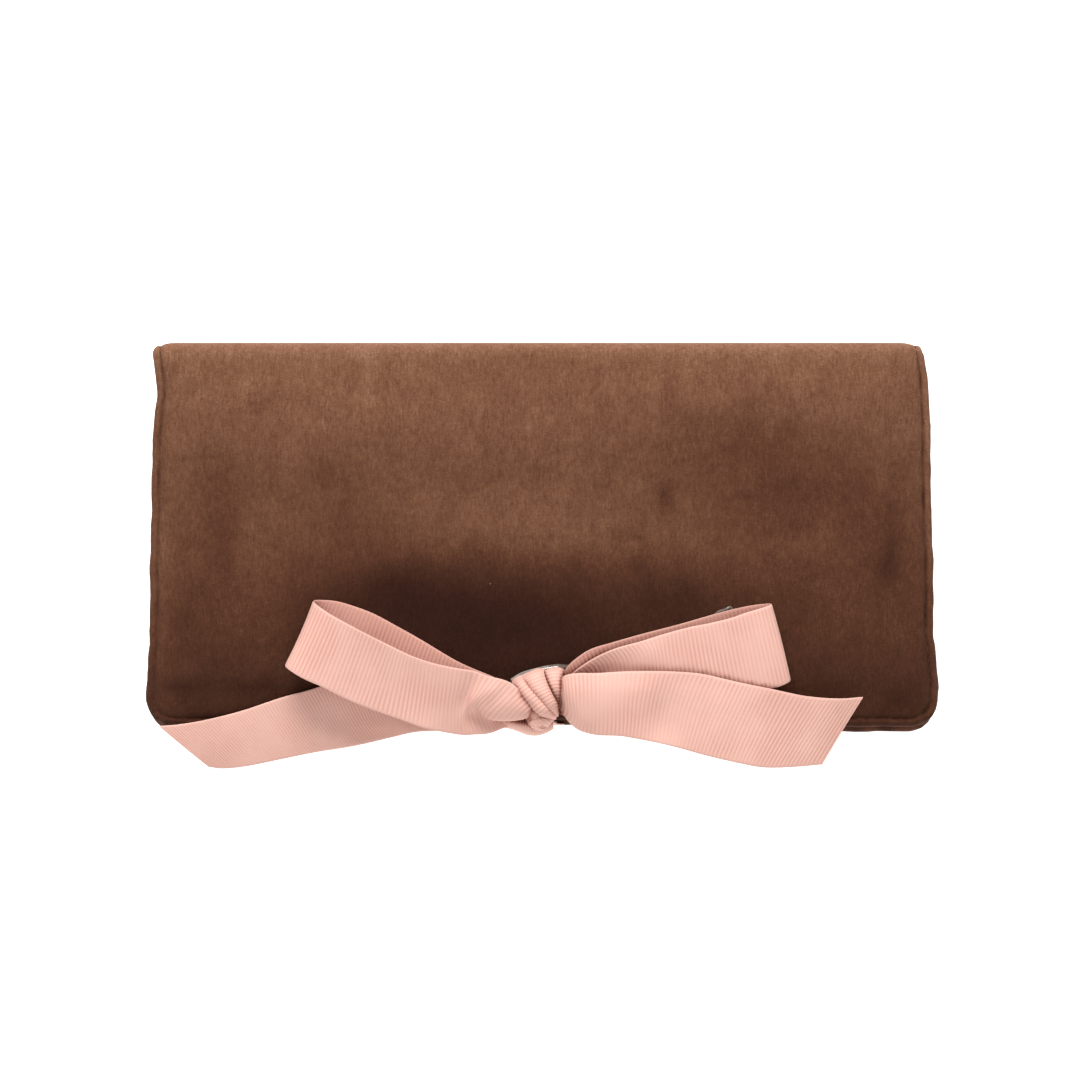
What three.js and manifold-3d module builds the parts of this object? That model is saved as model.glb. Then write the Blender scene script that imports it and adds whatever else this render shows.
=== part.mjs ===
// Velvet jewelry roll, folded shut like a book and tied with a ribbon bow. Millimetres, +Z up.
// X runs along the fold, Y from the near edge to the fold. The closed roll lies on z = 0.
import * as THREE from 'three';
import Module from 'manifold-3d';
import { mergeVertices } from 'three/addons/utils/BufferGeometryUtils.js';

const wasm = await Module();
wasm.setup();

// Driving dimensions of the closed roll.
const rollLength = 222;
const rollDepth = 108;
const foldHeight = 27;
const nearEdgeHeight = 14;
const cornerRadius = 8;

// Layers of each panel, and the play between neighbours.
const velvetThickness = 1.2;
const paddingThickness = 3.4;
const liningThickness = 0.8;
const pieceGap = 0.3;
const cutOverrun = 2;

// Cushion form of the flap: its crown, and the hollow where the bow draws it down.
const crownHeight = 2.5;
const tieDip = 2.4;
const tieDipHalfWidth = 48;
const tieDipReach = 34;

// Ring bar and its snap, on the inside of the back panel.
const ringBarDiameter = 12;
const ringBarEndMargin = 26;
const ringBarFromFold = 13.7;
const ringBarShift = -3;
const ringBarWall = 0.8;
const ringBarEndThickness = 2;
const ringTabWidth = 10;
const ringTabLength = 15;
const ringTabThickness = 0.8;
const snapBaseRadius = 4.6;
const snapBaseHeight = 0.6;
const snapStudRadius = 1.8;
const snapStudHeight = 1.6;
const snapSocketHeight = 1.2;
const snapCapHeight = 1;

// Zip pockets, one on each panel.
const zipEndMargin = 26;
const backZipFromFold = 34;
const flapZipFromFold = 44;
const backPocketDepth = 46;
const flapPocketDepth = 38;
const tapeWidth = 8;
const tapeThickness = 0.6;
const teethWidth = 4;
const teethHeight = 1.8;
const stopLength = 3;
const sliderLength = 9;
const sliderWall = 1.2;
const sliderRoof = 0.8;
const earThickness = 0.8;
const earLength = 2.4;
const pullBarrelRadius = 0.8;
const pullBarrelLength = 3;
const pullLength = 12;
const pullWidth = 5;
const pullThickness = 1;

// Ribbon bow.
const ribbonWidth = 20;
const ribbonThickness = 0.8;
const bowFromNearEdge = 7;
const knotLength = 14;
const knotWidth = 19;
const knotHeight = 10;
const leftLoopReach = 68;
const rightLoopReach = 68;
const leftTailReach = 99;
const rightTailReach = 86;
const loopHeight = 11;
const tieThickness = 0.5;
const backTieRise = 10;
const frontTieRise = 2.6;
const stripWidth = 5;
const stripThickness = 0.4;
const stripReach = 56;

// Places that follow from the sizes above.
const panelThickness = velvetThickness + paddingThickness + liningThickness + 2 * pieceGap;
const hingeRadius = panelThickness / 2;
const hingeY = rollDepth / 2 - hingeRadius;
const lowerHingeZ = hingeRadius;
const upperHingeZ = foldHeight - hingeRadius;
const panelFarY = hingeY - hingeRadius - pieceGap;
const panelNearY = -rollDepth / 2;
const zipLength = rollLength - 2 * zipEndMargin;
const ringBarLength = rollLength - 2 * ringBarEndMargin;
const flapSlope = (foldHeight - nearEdgeHeight) / (panelFarY - panelNearY);
const flapAngle = Math.atan(flapSlope);

// Colours and finishes.
const finishes = {
  velvet: { color: 0x70503f, roughness: 0.95, metalness: 0 },
  padding: { color: 0xe8e4da, roughness: 0.95, metalness: 0 },
  lining: { color: 0xb88a78, roughness: 0.55, metalness: 0 },
  ribbon: { color: 0xeab8a8, roughness: 0.6, metalness: 0 },
  zipTape: { color: 0x6a4b3c, roughness: 0.85, metalness: 0 },
  gilt: { color: 0xc9a25e, roughness: 0.3, metalness: 1 },
  clearFilm: { color: 0xf4f6f6, roughness: 0.08, metalness: 0 },
};

const roll = new THREE.Group();

function addPiece(holder, name, finish, geometry) {
  const mesh = new THREE.Mesh(geometry, new THREE.MeshStandardMaterial(finishes[finish]));
  mesh.name = name;
  holder.add(mesh);
  return mesh;
}

// Solids are joined and cut on their positions alone.
function toSolid(geometry) {
  const bare = geometry.clone();
  bare.deleteAttribute('normal');
  bare.deleteAttribute('uv');
  const merged = mergeVertices(bare);
  return new wasm.Manifold(new wasm.Mesh({
    numProp: 3,
    vertProperties: new Float32Array(merged.attributes.position.array),
    triVerts: new Uint32Array(merged.index.array),
  }));
}

function fromSolid(solid) {
  const mesh = solid.getMesh();
  return closedGeometry(Array.from(mesh.vertProperties), Array.from(mesh.triVerts));
}

function closedGeometry(positions, triangles) {
  const geometry = new THREE.BufferGeometry();
  geometry.setAttribute('position', new THREE.Float32BufferAttribute(positions, 3));
  geometry.setIndex(triangles);
  geometry.computeVertexNormals();
  return geometry;
}

function boxAt(low, high) {
  const geometry = new THREE.BoxGeometry(high[0] - low[0], high[1] - low[1], high[2] - low[2]);
  return geometry.translate((low[0] + high[0]) / 2, (low[1] + high[1]) / 2, (low[2] + high[2]) / 2);
}

// Extrudes a shape drawn in Y and Z along X, centred on x = 0.
function extrudeAlongX(shape, length, curveSegments) {
  const geometry = new THREE.ExtrudeGeometry(shape, { depth: length, bevelEnabled: false, curveSegments });
  const axes = new THREE.Matrix4().makeBasis(
    new THREE.Vector3(0, 1, 0),
    new THREE.Vector3(0, 0, 1),
    new THREE.Vector3(1, 0, 0),
  );
  return geometry.applyMatrix4(axes).translate(-length / 2, 0, 0);
}

// Turned solid about X from a closed profile of [radius, x] points.
function turnedAlongX(profile, segments) {
  const points = profile.map(([radius, x]) => new THREE.Vector2(radius, x));
  return new THREE.LatheGeometry(points, segments).rotateZ(-Math.PI / 2);
}

// Turned solid about Z from a closed profile of [radius, z] points.
function turnedAlongZ(profile, segments) {
  const points = profile.map(([radius, z]) => new THREE.Vector2(radius, z));
  return new THREE.LatheGeometry(points, segments).rotateX(Math.PI / 2);
}

// Panel layers: a grid of columns and rows inside the panel's outline, between two heights.
const cornerSteps = 4;
const fineColumnShares = [0, 0.09, 0.18, 0.28, 0.4, 0.55, 0.7, 0.83, 0.93, 1];
const plainColumnShares = [0, 0.5, 1];
const fineRowShares = [0.06, 0.12, 0.19, 0.27, 0.38, 0.5, 0.62, 0.74, 0.85, 0.93, 1];
const plainRowShares = [0.5, 1];

function bothSides(shares) {
  const mirrored = shares.slice(1).reverse().map((share) => -share);
  return [...mirrored, ...shares];
}

function panelRows(inset, rowShares) {
  const radius = cornerRadius - inset;
  const halfLength = rollLength / 2 - inset;
  const nearY = panelNearY + inset;
  const farY = panelFarY - inset;
  const rows = [];
  for (let step = 0; step <= cornerSteps; step += 1) {
    const turn = (step / cornerSteps) * (Math.PI / 2);
    const y = nearY + radius * (1 - Math.cos(turn));
    rows.push({ y, halfLength: halfLength - radius * (1 - Math.sin(turn)) });
  }
  for (const share of rowShares) {
    rows.push({ y: THREE.MathUtils.lerp(nearY + radius, farY, share), halfLength });
  }
  return rows;
}

function panelLayer(inset, bottomAt, topAt, fine) {
  const columns = bothSides(fine ? fineColumnShares : plainColumnShares);
  const rows = panelRows(inset, fine ? fineRowShares : plainRowShares);
  const positions = [];
  for (const heightAt of [bottomAt, topAt]) {
    for (const row of rows) {
      for (const column of columns) {
        const x = column * row.halfLength;
        positions.push(x, row.y, heightAt(x, row.y));
      }
    }
  }
  const perRow = columns.length;
  const perFace = perRow * rows.length;
  const triangles = [];
  const quad = (a, b, c, d) => triangles.push(a, b, c, a, c, d);
  for (let r = 0; r + 1 < rows.length; r += 1) {
    for (let c = 0; c + 1 < perRow; c += 1) {
      const a = r * perRow + c;
      quad(a, a + perRow, a + perRow + 1, a + 1);
      quad(perFace + a, perFace + a + 1, perFace + a + perRow + 1, perFace + a + perRow);
    }
    const left = r * perRow;
    const right = left + perRow - 1;
    quad(left, left + perFace, left + perRow + perFace, left + perRow);
    quad(right, right + perRow, right + perRow + perFace, right + perFace);
  }
  const lastRow = (rows.length - 1) * perRow;
  for (let c = 0; c + 1 < perRow; c += 1) {
    quad(c, c + 1, c + 1 + perFace, c + perFace);
    quad(lastRow + c, lastRow + c + perFace, lastRow + c + 1 + perFace, lastRow + c + 1);
  }
  return closedGeometry(positions, triangles);
}

const level = (height) => () => height;

// The flap slopes from the fold to the near edge; its outer face is crowned and dips at the bow.
function flapInnerZ(x, y) {
  return foldHeight - panelThickness - flapSlope * (panelFarY - y);
}

function crownAt(x, y) {
  const across = Math.abs(x) / (rollLength / 2);
  const along = Math.abs(y) / (rollDepth / 2);
  return crownHeight * (1 - across ** 4) * (1 - along ** 4);
}

function dipAt(x, y) {
  const sideways = Math.min(1, Math.abs(x) / tieDipHalfWidth);
  const inwards = Math.min(1, (y - panelNearY) / tieDipReach);
  return tieDip * (Math.cos(sideways * (Math.PI / 2)) ** 2) * (Math.cos(inwards * (Math.PI / 2)) ** 2);
}

function flapOuterZ(x, y) {
  return flapInnerZ(x, y) + panelThickness + crownAt(x, y) - dipAt(x, y);
}

function below(heightAt, drop) {
  return (x, y) => heightAt(x, y) - drop;
}

const velvetInset = velvetThickness;
const fillInset = velvetThickness + pieceGap;

// Back panel: a velvet tray, its padding and its lining.
function addBackPanel() {
  const slab = toSolid(panelLayer(0, level(0), level(panelThickness), false));
  const openTop = level(panelThickness + cutOverrun);
  const hollow = toSolid(panelLayer(velvetInset, level(velvetThickness), openTop, false));
  const liningBottom = panelThickness - liningThickness;
  addPiece(roll, 'back_cover', 'velvet', fromSolid(slab.subtract(hollow)));
  addPiece(roll, 'back_padding', 'padding',
    panelLayer(fillInset, level(velvetThickness + pieceGap), level(liningBottom - pieceGap), false));
  addPiece(roll, 'back_lining', 'lining',
    panelLayer(fillInset, level(liningBottom), level(panelThickness), false));
}

// Flap: the same layers upside down, with the crowned outer face.
function addFlapPanel() {
  const slab = toSolid(panelLayer(0, flapInnerZ, flapOuterZ, true));
  const openBottom = below(flapInnerZ, cutOverrun);
  const hollow = toSolid(panelLayer(velvetInset, openBottom, below(flapOuterZ, velvetThickness), true));
  const liningTop = below(flapInnerZ, -liningThickness);
  addPiece(roll, 'flap_cover', 'velvet', fromSolid(slab.subtract(hollow)));
  const fillTop = below(flapOuterZ, velvetThickness + pieceGap);
  const fillBottom = below(liningTop, -pieceGap);
  addPiece(roll, 'flap_padding', 'padding', panelLayer(fillInset, fillBottom, fillTop, true));
  addPiece(roll, 'flap_lining', 'lining', panelLayer(fillInset, flapInnerZ, liningTop, false));
}

// Spine: a strip with round edges, each edge centred on the hinge line beside it.
function addSpine() {
  const outline = new THREE.Shape();
  outline.moveTo(hingeY + hingeRadius, lowerHingeZ);
  outline.lineTo(hingeY + hingeRadius, upperHingeZ);
  outline.absarc(hingeY, upperHingeZ, hingeRadius, 0, Math.PI, false);
  outline.lineTo(hingeY - hingeRadius, lowerHingeZ);
  outline.absarc(hingeY, lowerHingeZ, hingeRadius, Math.PI, 2 * Math.PI, false);
  const innerFaceY = hingeY - hingeRadius;
  const pocketY = hingeY + hingeRadius - velvetThickness;
  const pocketHalf = rollLength / 2 - velvetThickness;
  const fillHalf = pocketHalf - pieceGap;
  const strip = toSolid(extrudeAlongX(outline, rollLength, 8));
  const pocket = toSolid(boxAt(
    [-pocketHalf, innerFaceY - cutOverrun, lowerHingeZ],
    [pocketHalf, pocketY, upperHingeZ],
  ));
  addPiece(roll, 'spine_cover', 'velvet', fromSolid(strip.subtract(pocket)));
  addPiece(roll, 'spine_padding', 'padding', boxAt(
    [-fillHalf, innerFaceY + liningThickness + pieceGap, lowerHingeZ + pieceGap],
    [fillHalf, pocketY - pieceGap, upperHingeZ - pieceGap],
  ));
  addPiece(roll, 'spine_lining', 'lining', boxAt(
    [-fillHalf, innerFaceY, lowerHingeZ + pieceGap],
    [fillHalf, innerFaceY + liningThickness, upperHingeZ - pieceGap],
  ));
}

// Zip pocket, drawn on a panel whose lining is z = 0 and whose fold end is y = 0, facing +Z.
function addZipPocket(holder, side, zipFromFold, pocketDepth) {
  const zipY = -zipFromFold;
  const tapeEdge = teethWidth / 2 + pieceGap;
  const halfZip = zipLength / 2;
  const tapeHalf = halfZip + stopLength + pieceGap;
  addPiece(holder, `${side}_zip_upper_tape`, 'zipTape', boxAt(
    [-tapeHalf, zipY + tapeEdge, pieceGap],
    [tapeHalf, zipY + tapeEdge + tapeWidth, pieceGap + tapeThickness],
  ));
  addPiece(holder, `${side}_zip_lower_tape`, 'zipTape', boxAt(
    [-tapeHalf, zipY - tapeEdge - tapeWidth, pieceGap],
    [tapeHalf, zipY - tapeEdge, pieceGap + tapeThickness],
  ));
  addPiece(holder, `${side}_zip_teeth`, 'gilt', boxAt(
    [-halfZip, zipY - teethWidth / 2, pieceGap],
    [halfZip, zipY + teethWidth / 2, pieceGap + teethHeight],
  ));
  for (const [name, sign] of [['left', -1], ['right', 1]]) {
    const middle = sign * (halfZip + pieceGap + stopLength / 2);
    addPiece(holder, `${side}_zip_${name}_stop`, 'gilt', boxAt(
      [middle - stopLength / 2, zipY - teethWidth / 2, pieceGap],
      [middle + stopLength / 2, zipY + teethWidth / 2, pieceGap + teethHeight],
    ));
  }
  const pocketTop = zipY - tapeEdge - tapeWidth - pieceGap;
  addPiece(holder, `${side}_pocket`, 'lining', boxAt(
    [-tapeHalf, pocketTop - pocketDepth, pieceGap],
    [tapeHalf, pocketTop, pieceGap + liningThickness],
  ));
  addZipSlider(holder, side, zipY);
}

// The slider straddles the teeth at the closed end, and its pull lies back along the zip.
function addZipSlider(holder, side, zipY) {
  const halfChannel = teethWidth / 2 + pieceGap;
  const halfWidth = halfChannel + sliderWall;
  const foot = tapeThickness + 2 * pieceGap;
  const ceiling = teethHeight + 2 * pieceGap;
  const roof = ceiling + sliderRoof;
  const outline = new THREE.Shape();
  outline.moveTo(-halfWidth, foot);
  outline.lineTo(-halfChannel, foot);
  outline.lineTo(-halfChannel, ceiling);
  outline.lineTo(halfChannel, ceiling);
  outline.lineTo(halfChannel, foot);
  outline.lineTo(halfWidth, foot);
  outline.lineTo(halfWidth, roof);
  outline.lineTo(-halfWidth, roof);
  const pivotZ = roof + pieceGap + pullBarrelRadius;
  const earInner = pullBarrelLength / 2 + pieceGap;
  let slider = toSolid(extrudeAlongX(outline, sliderLength, 1));
  for (const sign of [-1, 1]) {
    const earMiddle = sign * (earInner + earThickness / 2);
    slider = slider.add(toSolid(boxAt(
      [-earLength / 2, earMiddle - earThickness / 2, roof - sliderRoof / 2],
      [earLength / 2, earMiddle + earThickness / 2, pivotZ + pullBarrelRadius],
    )));
  }
  const restX = -zipLength / 2 + sliderLength / 2;
  addPiece(holder, `${side}_zip_slider`, 'gilt', fromSolid(slider)).position.set(restX, zipY, 0);
  addPiece(holder, `${side}_zip_pull`, 'gilt', pullGeometry()).position.set(restX, zipY, pivotZ);
}

function pullGeometry() {
  const neck = earLength / 2 + 2 * pieceGap;
  const outline = new THREE.Shape();
  outline.moveTo(0, -pullBarrelLength / 2);
  outline.lineTo(neck, -pullBarrelLength / 2);
  outline.lineTo(neck + pullBarrelRadius, -pullWidth / 2);
  outline.lineTo(pullLength - pullWidth / 2, -pullWidth / 2);
  outline.absarc(pullLength - pullWidth / 2, 0, pullWidth / 2, -Math.PI / 2, Math.PI / 2, false);
  outline.lineTo(neck + pullBarrelRadius, pullWidth / 2);
  outline.lineTo(neck, pullBarrelLength / 2);
  outline.lineTo(0, pullBarrelLength / 2);
  const plateSettings = { depth: pullThickness, bevelEnabled: false, curveSegments: 6 };
  const plate = new THREE.ExtrudeGeometry(outline, plateSettings);
  plate.translate(0, 0, -pullThickness / 2);
  const barrel = new THREE.CylinderGeometry(pullBarrelRadius, pullBarrelRadius, pullBarrelLength, 12);
  return fromSolid(toSolid(plate).add(toSolid(barrel)));
}

// Ring bar on the back panel: sewn down at its left end, snapped down at its right end.
function addRingBar() {
  const radius = ringBarDiameter / 2;
  const bar = new THREE.Group();
  bar.position.set(ringBarShift, panelFarY - ringBarFromFold, panelThickness + pieceGap);
  roll.add(bar);
  const halfBar = ringBarLength / 2;
  const bore = radius - ringBarWall;
  const coreRadius = bore - pieceGap;
  const plugInner = halfBar - ringBarEndThickness;
  const sleeve = turnedAlongX([[bore, -halfBar], [radius, -halfBar], [radius, halfBar], [bore, halfBar],
    [bore, -halfBar]], 24);
  addPiece(bar, 'ring_bar_sleeve', 'velvet', sleeve).position.z = radius;
  const core = new THREE.CylinderGeometry(coreRadius, coreRadius, 2 * (plugInner - pieceGap), 20);
  addPiece(bar, 'ring_bar_core', 'padding', core.rotateZ(Math.PI / 2)).position.z = radius;
  for (const [name, sign] of [['left', -1], ['right', 1]]) {
    const plug = new THREE.CylinderGeometry(coreRadius, coreRadius, ringBarEndThickness, 20);
    const placed = addPiece(bar, `ring_bar_${name}_end`, 'velvet', plug.rotateZ(Math.PI / 2));
    placed.position.set(sign * (halfBar - ringBarEndThickness / 2), 0, radius);
  }
  addPiece(bar, 'ring_bar_sewn_tab', 'velvet', boxAt(
    [-halfBar - pieceGap - ringTabLength, -ringTabWidth / 2, 0],
    [-halfBar - pieceGap, ringTabWidth / 2, ringTabThickness],
  ));
  const snapX = halfBar + pieceGap + ringTabLength / 2;
  const socketZ = snapBaseHeight + pieceGap;
  const tabZ = Math.max(socketZ + snapSocketHeight, snapBaseHeight + snapStudHeight) + pieceGap;
  addPiece(bar, 'ring_bar_snap_tab', 'velvet', boxAt(
    [halfBar + pieceGap, -ringTabWidth / 2, tabZ],
    [halfBar + pieceGap + ringTabLength, ringTabWidth / 2, tabZ + ringTabThickness],
  ));
  const stud = turnedAlongZ([[0, 0], [snapBaseRadius, 0], [snapBaseRadius, snapBaseHeight],
    [snapStudRadius, snapBaseHeight], [snapStudRadius, snapBaseHeight + snapStudHeight],
    [0, snapBaseHeight + snapStudHeight]], 16);
  addPiece(bar, 'snap_stud', 'gilt', stud).position.x = snapX;
  const socketBore = snapStudRadius + pieceGap;
  const socket = turnedAlongZ([[socketBore, 0], [snapBaseRadius, 0], [snapBaseRadius, snapSocketHeight],
    [socketBore, snapSocketHeight], [socketBore, 0]], 16);
  addPiece(bar, 'snap_socket', 'gilt', socket).position.set(snapX, 0, tabZ - pieceGap - snapSocketHeight);
  const cap = turnedAlongZ([[0, 0], [snapBaseRadius, 0], [snapBaseRadius, snapCapHeight / 2],
    [snapBaseRadius - snapCapHeight / 2, snapCapHeight], [0, snapCapHeight]], 16);
  addPiece(bar, 'snap_cap', 'gilt', cap).position.set(snapX, 0, tabZ + ringTabThickness + pieceGap);
}

// Ribbon: a flat band swept along a smooth line. Each row of a table gives the line's point as
// shares of reach, ribbon width and loop height, and the half-width direction as shares of width.
function ribbonGeometry(shares, reach, steps, width, thickness) {
  const centres = shares.map(
    (row) => new THREE.Vector3(row[0] * reach, row[1] * ribbonWidth, row[2] * loopHeight),
  );
  const halves = shares.map((row) => new THREE.Vector3(row[3], row[4], row[5]).multiplyScalar(width / 2));
  const line = new THREE.CatmullRomCurve3(centres, false, 'centripetal');
  const side = new THREE.CatmullRomCurve3(halves, false, 'catmullrom', 0.5);
  const positions = [];
  const triangles = [];
  const quad = (a, b, c, d) => triangles.push(a, b, c, a, c, d);
  for (let step = 0; step <= steps; step += 1) {
    const centre = line.getPoint(step / steps);
    const tangent = line.getTangent(step / steps);
    const half = side.getPoint(step / steps);
    const face = new THREE.Vector3().crossVectors(tangent, half).normalize().multiplyScalar(thickness / 2);
    for (const [across, through] of [[-1, -1], [1, -1], [1, 1], [-1, 1]]) {
      const corner = centre.clone().addScaledVector(half, across).addScaledVector(face, through);
      positions.push(corner.x, corner.y, corner.z);
    }
    if (step > 0) {
      const now = step * 4;
      const before = now - 4;
      for (let edge = 0; edge < 4; edge += 1) {
        const next = (edge + 1) % 4;
        quad(before + edge, before + next, now + next, now + edge);
      }
    }
  }
  const last = steps * 4;
  quad(0, 3, 2, 1);
  quad(last, last + 1, last + 2, last + 3);
  return closedGeometry(positions, triangles);
}

// Hand-chosen routes from inside the knot outwards, as seen from above.
const leftLoopShares = [
  [-0.04, -0.08, 0.08, 0.05, 0.55, 0],
  [-0.14, -0.08, 0.08, 0.1, 0.8, 0],
  [-0.25, -0.05, 0.1, 0.15, 0.95, 0],
  [-0.4, 0.08, 0.1, 0.25, 0.95, 0],
  [-0.56, 0.38, 0.1, 0.3, 0.93, 0],
  [-0.76, 0.72, 0.12, 0.36, 0.92, 0],
  [-0.92, 0.86, 0.26, 0.38, 0.92, 0],
  [-0.99, 0.86, 0.58, 0.39, 0.92, 0],
  [-0.93, 0.72, 0.93, 0.38, 0.92, 0],
  [-0.8, 0.5, 1.02, 0.36, 0.92, 0.1],
  [-0.62, 0.24, 0.98, 0.33, 0.9, 0.15],
  [-0.42, 0.02, 0.86, 0.25, 0.9, 0.2],
  [-0.27, -0.06, 0.7, 0.15, 0.85, 0.15],
  [-0.15, -0.1, 0.5, 0.1, 0.7, 0.1],
  [-0.04, -0.08, 0.36, 0.05, 0.5, 0],
];
const rightLoopShares = [
  [0.04, 0.04, 0.06, -0.05, 0.55, 0],
  [0.14, 0.14, 0.09, -0.1, 0.8, 0],
  [0.26, 0.26, 0.09, -0.15, 0.9, 0],
  [0.42, 0.42, 0.1, -0.2, 0.95, 0],
  [0.6, 0.58, 0.1, -0.2, 0.96, 0],
  [0.8, 0.73, 0.13, -0.2, 0.97, 0],
  [0.94, 0.8, 0.28, -0.22, 0.97, 0],
  [0.99, 0.78, 0.52, -0.24, 0.97, 0],
  [0.93, 0.68, 0.7, -0.22, 0.97, 0],
  [0.8, 0.58, 0.74, -0.2, 0.96, 0],
  [0.64, 0.44, 0.68, -0.2, 0.95, 0],
  [0.46, 0.26, 0.55, -0.18, 0.93, 0],
  [0.28, 0.12, 0.4, -0.12, 0.85, 0],
  [0.15, 0.06, 0.28, -0.1, 0.7, 0],
  [0.04, 0.02, 0.19, -0.05, 0.5, 0],
];
const leftTailShares = [
  [-0.03, -0.05, -0.08, 0.05, 0.5, 0],
  [-0.12, -0.06, -0.08, 0.1, 0.75, 0],
  [-0.28, -0.06, -0.07, 0.25, 0.9, 0],
  [-0.46, -0.2, -0.08, 0.28, 0.93, 0],
  [-0.66, -0.36, -0.12, 0.26, 0.9, 0.05],
  [-0.84, -0.58, -0.17, 0.1, 0.86, 0.1],
  [-1, -0.7, -0.26, -0.75, 0.55, 0.1],
];
const rightTailShares = [
  [0.03, -0.02, 0.34, 0.05, 0.5, 0],
  [0.12, 0, 0.46, 0.05, 0.75, 0],
  [0.24, -0.06, 0.62, 0.02, 0.95, 0],
  [0.38, -0.1, 0.78, 0, 1, 0],
  [0.54, -0.2, 0.9, 0.05, 1, 0.05],
  [0.68, -0.32, 0.92, 0.1, 0.98, 0.1],
  [0.84, -0.44, 0.8, 0.25, 0.95, 0.1],
  [0.99, -0.47, 0.6, 0.55, 0.93, 0.1],
];
const stripShares = [
  [-0.15, 0.36, 0, -0.35, 0.93, 0],
  [1, 1.14, 0, -0.35, 0.93, 0],
];

// The bow lies on the flap's slope, on a plane that the crown of the flap touches. Loops and
// tails run into the knot, so each is cut back to the knot's surface.
function addBow() {
  const tilt = new THREE.Group();
  const bowY = panelNearY + bowFromNearEdge;
  tilt.position.set(0, bowY, flapInnerZ(0, bowY) + panelThickness);
  tilt.rotation.x = flapAngle;
  roll.add(tilt);
  const knotMiddle = crownAt(0, bowY) - dipAt(0, bowY) + 2 * pieceGap + knotHeight / 2;
  const knotBall = (clearance) => new THREE.SphereGeometry(1 / 2, 16, 10).scale(
    knotLength + 2 * clearance,
    knotWidth + 2 * clearance,
    knotHeight + 2 * clearance,
  );
  addPiece(tilt, 'bow_knot', 'ribbon', knotBall(0)).position.z = knotMiddle;
  const bow = new THREE.Group();
  bow.position.z = crownHeight + pieceGap + ribbonThickness / 2;
  tilt.add(bow);
  const knotRoom = toSolid(knotBall(pieceGap).translate(0, 0, knotMiddle - bow.position.z));
  const addBand = (name, finish, geometry) => {
    addPiece(bow, name, finish, fromSolid(toSolid(geometry).subtract(knotRoom)));
  };
  const ribbon = (shares, reach, steps) => (
    ribbonGeometry(shares, reach, steps, ribbonWidth, ribbonThickness)
  );
  addBand('bow_left_loop', 'ribbon', ribbon(leftLoopShares, leftLoopReach, 32));
  addBand('bow_right_loop', 'ribbon', ribbon(rightLoopShares, rightLoopReach, 32));
  addBand('bow_left_tail', 'ribbon', ribbon(leftTailShares, leftTailReach, 16));
  addBand('bow_right_tail', 'ribbon', ribbon(rightTailShares, rightTailReach, 16));
  addBand('clear_bow_strip', 'clearFilm',
    ribbonGeometry(stripShares, stripReach, 4, stripWidth, stripThickness));
}

// The two ties leave the near edges of the panels and rise in front of the flap to the knot.
function addTies() {
  const halfTie = knotLength / 2;
  const tieStart = panelNearY - pieceGap;
  const frontTieY = tieStart - tieThickness / 2;
  const backTieY = frontTieY - tieThickness - pieceGap;
  const flapEdgeZ = flapInnerZ(0, panelNearY) + panelThickness / 2 - tieDip / 2;
  addPiece(roll, 'front_tie', 'ribbon', boxAt(
    [-halfTie, frontTieY - tieThickness / 2, flapEdgeZ - tieThickness],
    [halfTie, frontTieY + tieThickness / 2, flapEdgeZ + frontTieRise],
  ));
  const outline = new THREE.Shape();
  const tieZ = hingeRadius;
  outline.moveTo(tieStart, tieZ);
  outline.lineTo(tieStart, tieZ + tieThickness);
  outline.lineTo(backTieY + tieThickness / 2, tieZ + tieThickness);
  outline.lineTo(backTieY + tieThickness / 2, tieZ + backTieRise);
  outline.lineTo(backTieY - tieThickness / 2, tieZ + backTieRise);
  outline.lineTo(backTieY - tieThickness / 2, tieZ);
  addPiece(roll, 'back_tie', 'ribbon', extrudeAlongX(outline, 2 * halfTie, 1));
}

function addPockets() {
  const backInside = new THREE.Group();
  backInside.position.set(0, panelFarY, panelThickness);
  roll.add(backInside);
  addZipPocket(backInside, 'back', backZipFromFold, backPocketDepth);
  const flapInside = new THREE.Group();
  flapInside.position.set(0, panelFarY, foldHeight - panelThickness);
  flapInside.rotation.x = flapAngle;
  const facingDown = new THREE.Group();
  facingDown.rotation.y = Math.PI;
  flapInside.add(facingDown);
  roll.add(flapInside);
  addZipPocket(facingDown, 'flap', flapZipFromFold, flapPocketDepth);
}

addBackPanel();
addSpine();
addFlapPanel();
addPockets();
addRingBar();
addTies();
addBow();

export default roll;
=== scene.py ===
"""Looks of the folded velvet jewelry roll: velvet wraps, padding, lining, zips, ring bar and ribbon bow."""
import math

import bmesh
import bpy
import numpy as np
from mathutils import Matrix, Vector
from mathutils.bvhtree import BVHTree
from mathutils.kdtree import KDTree


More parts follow.
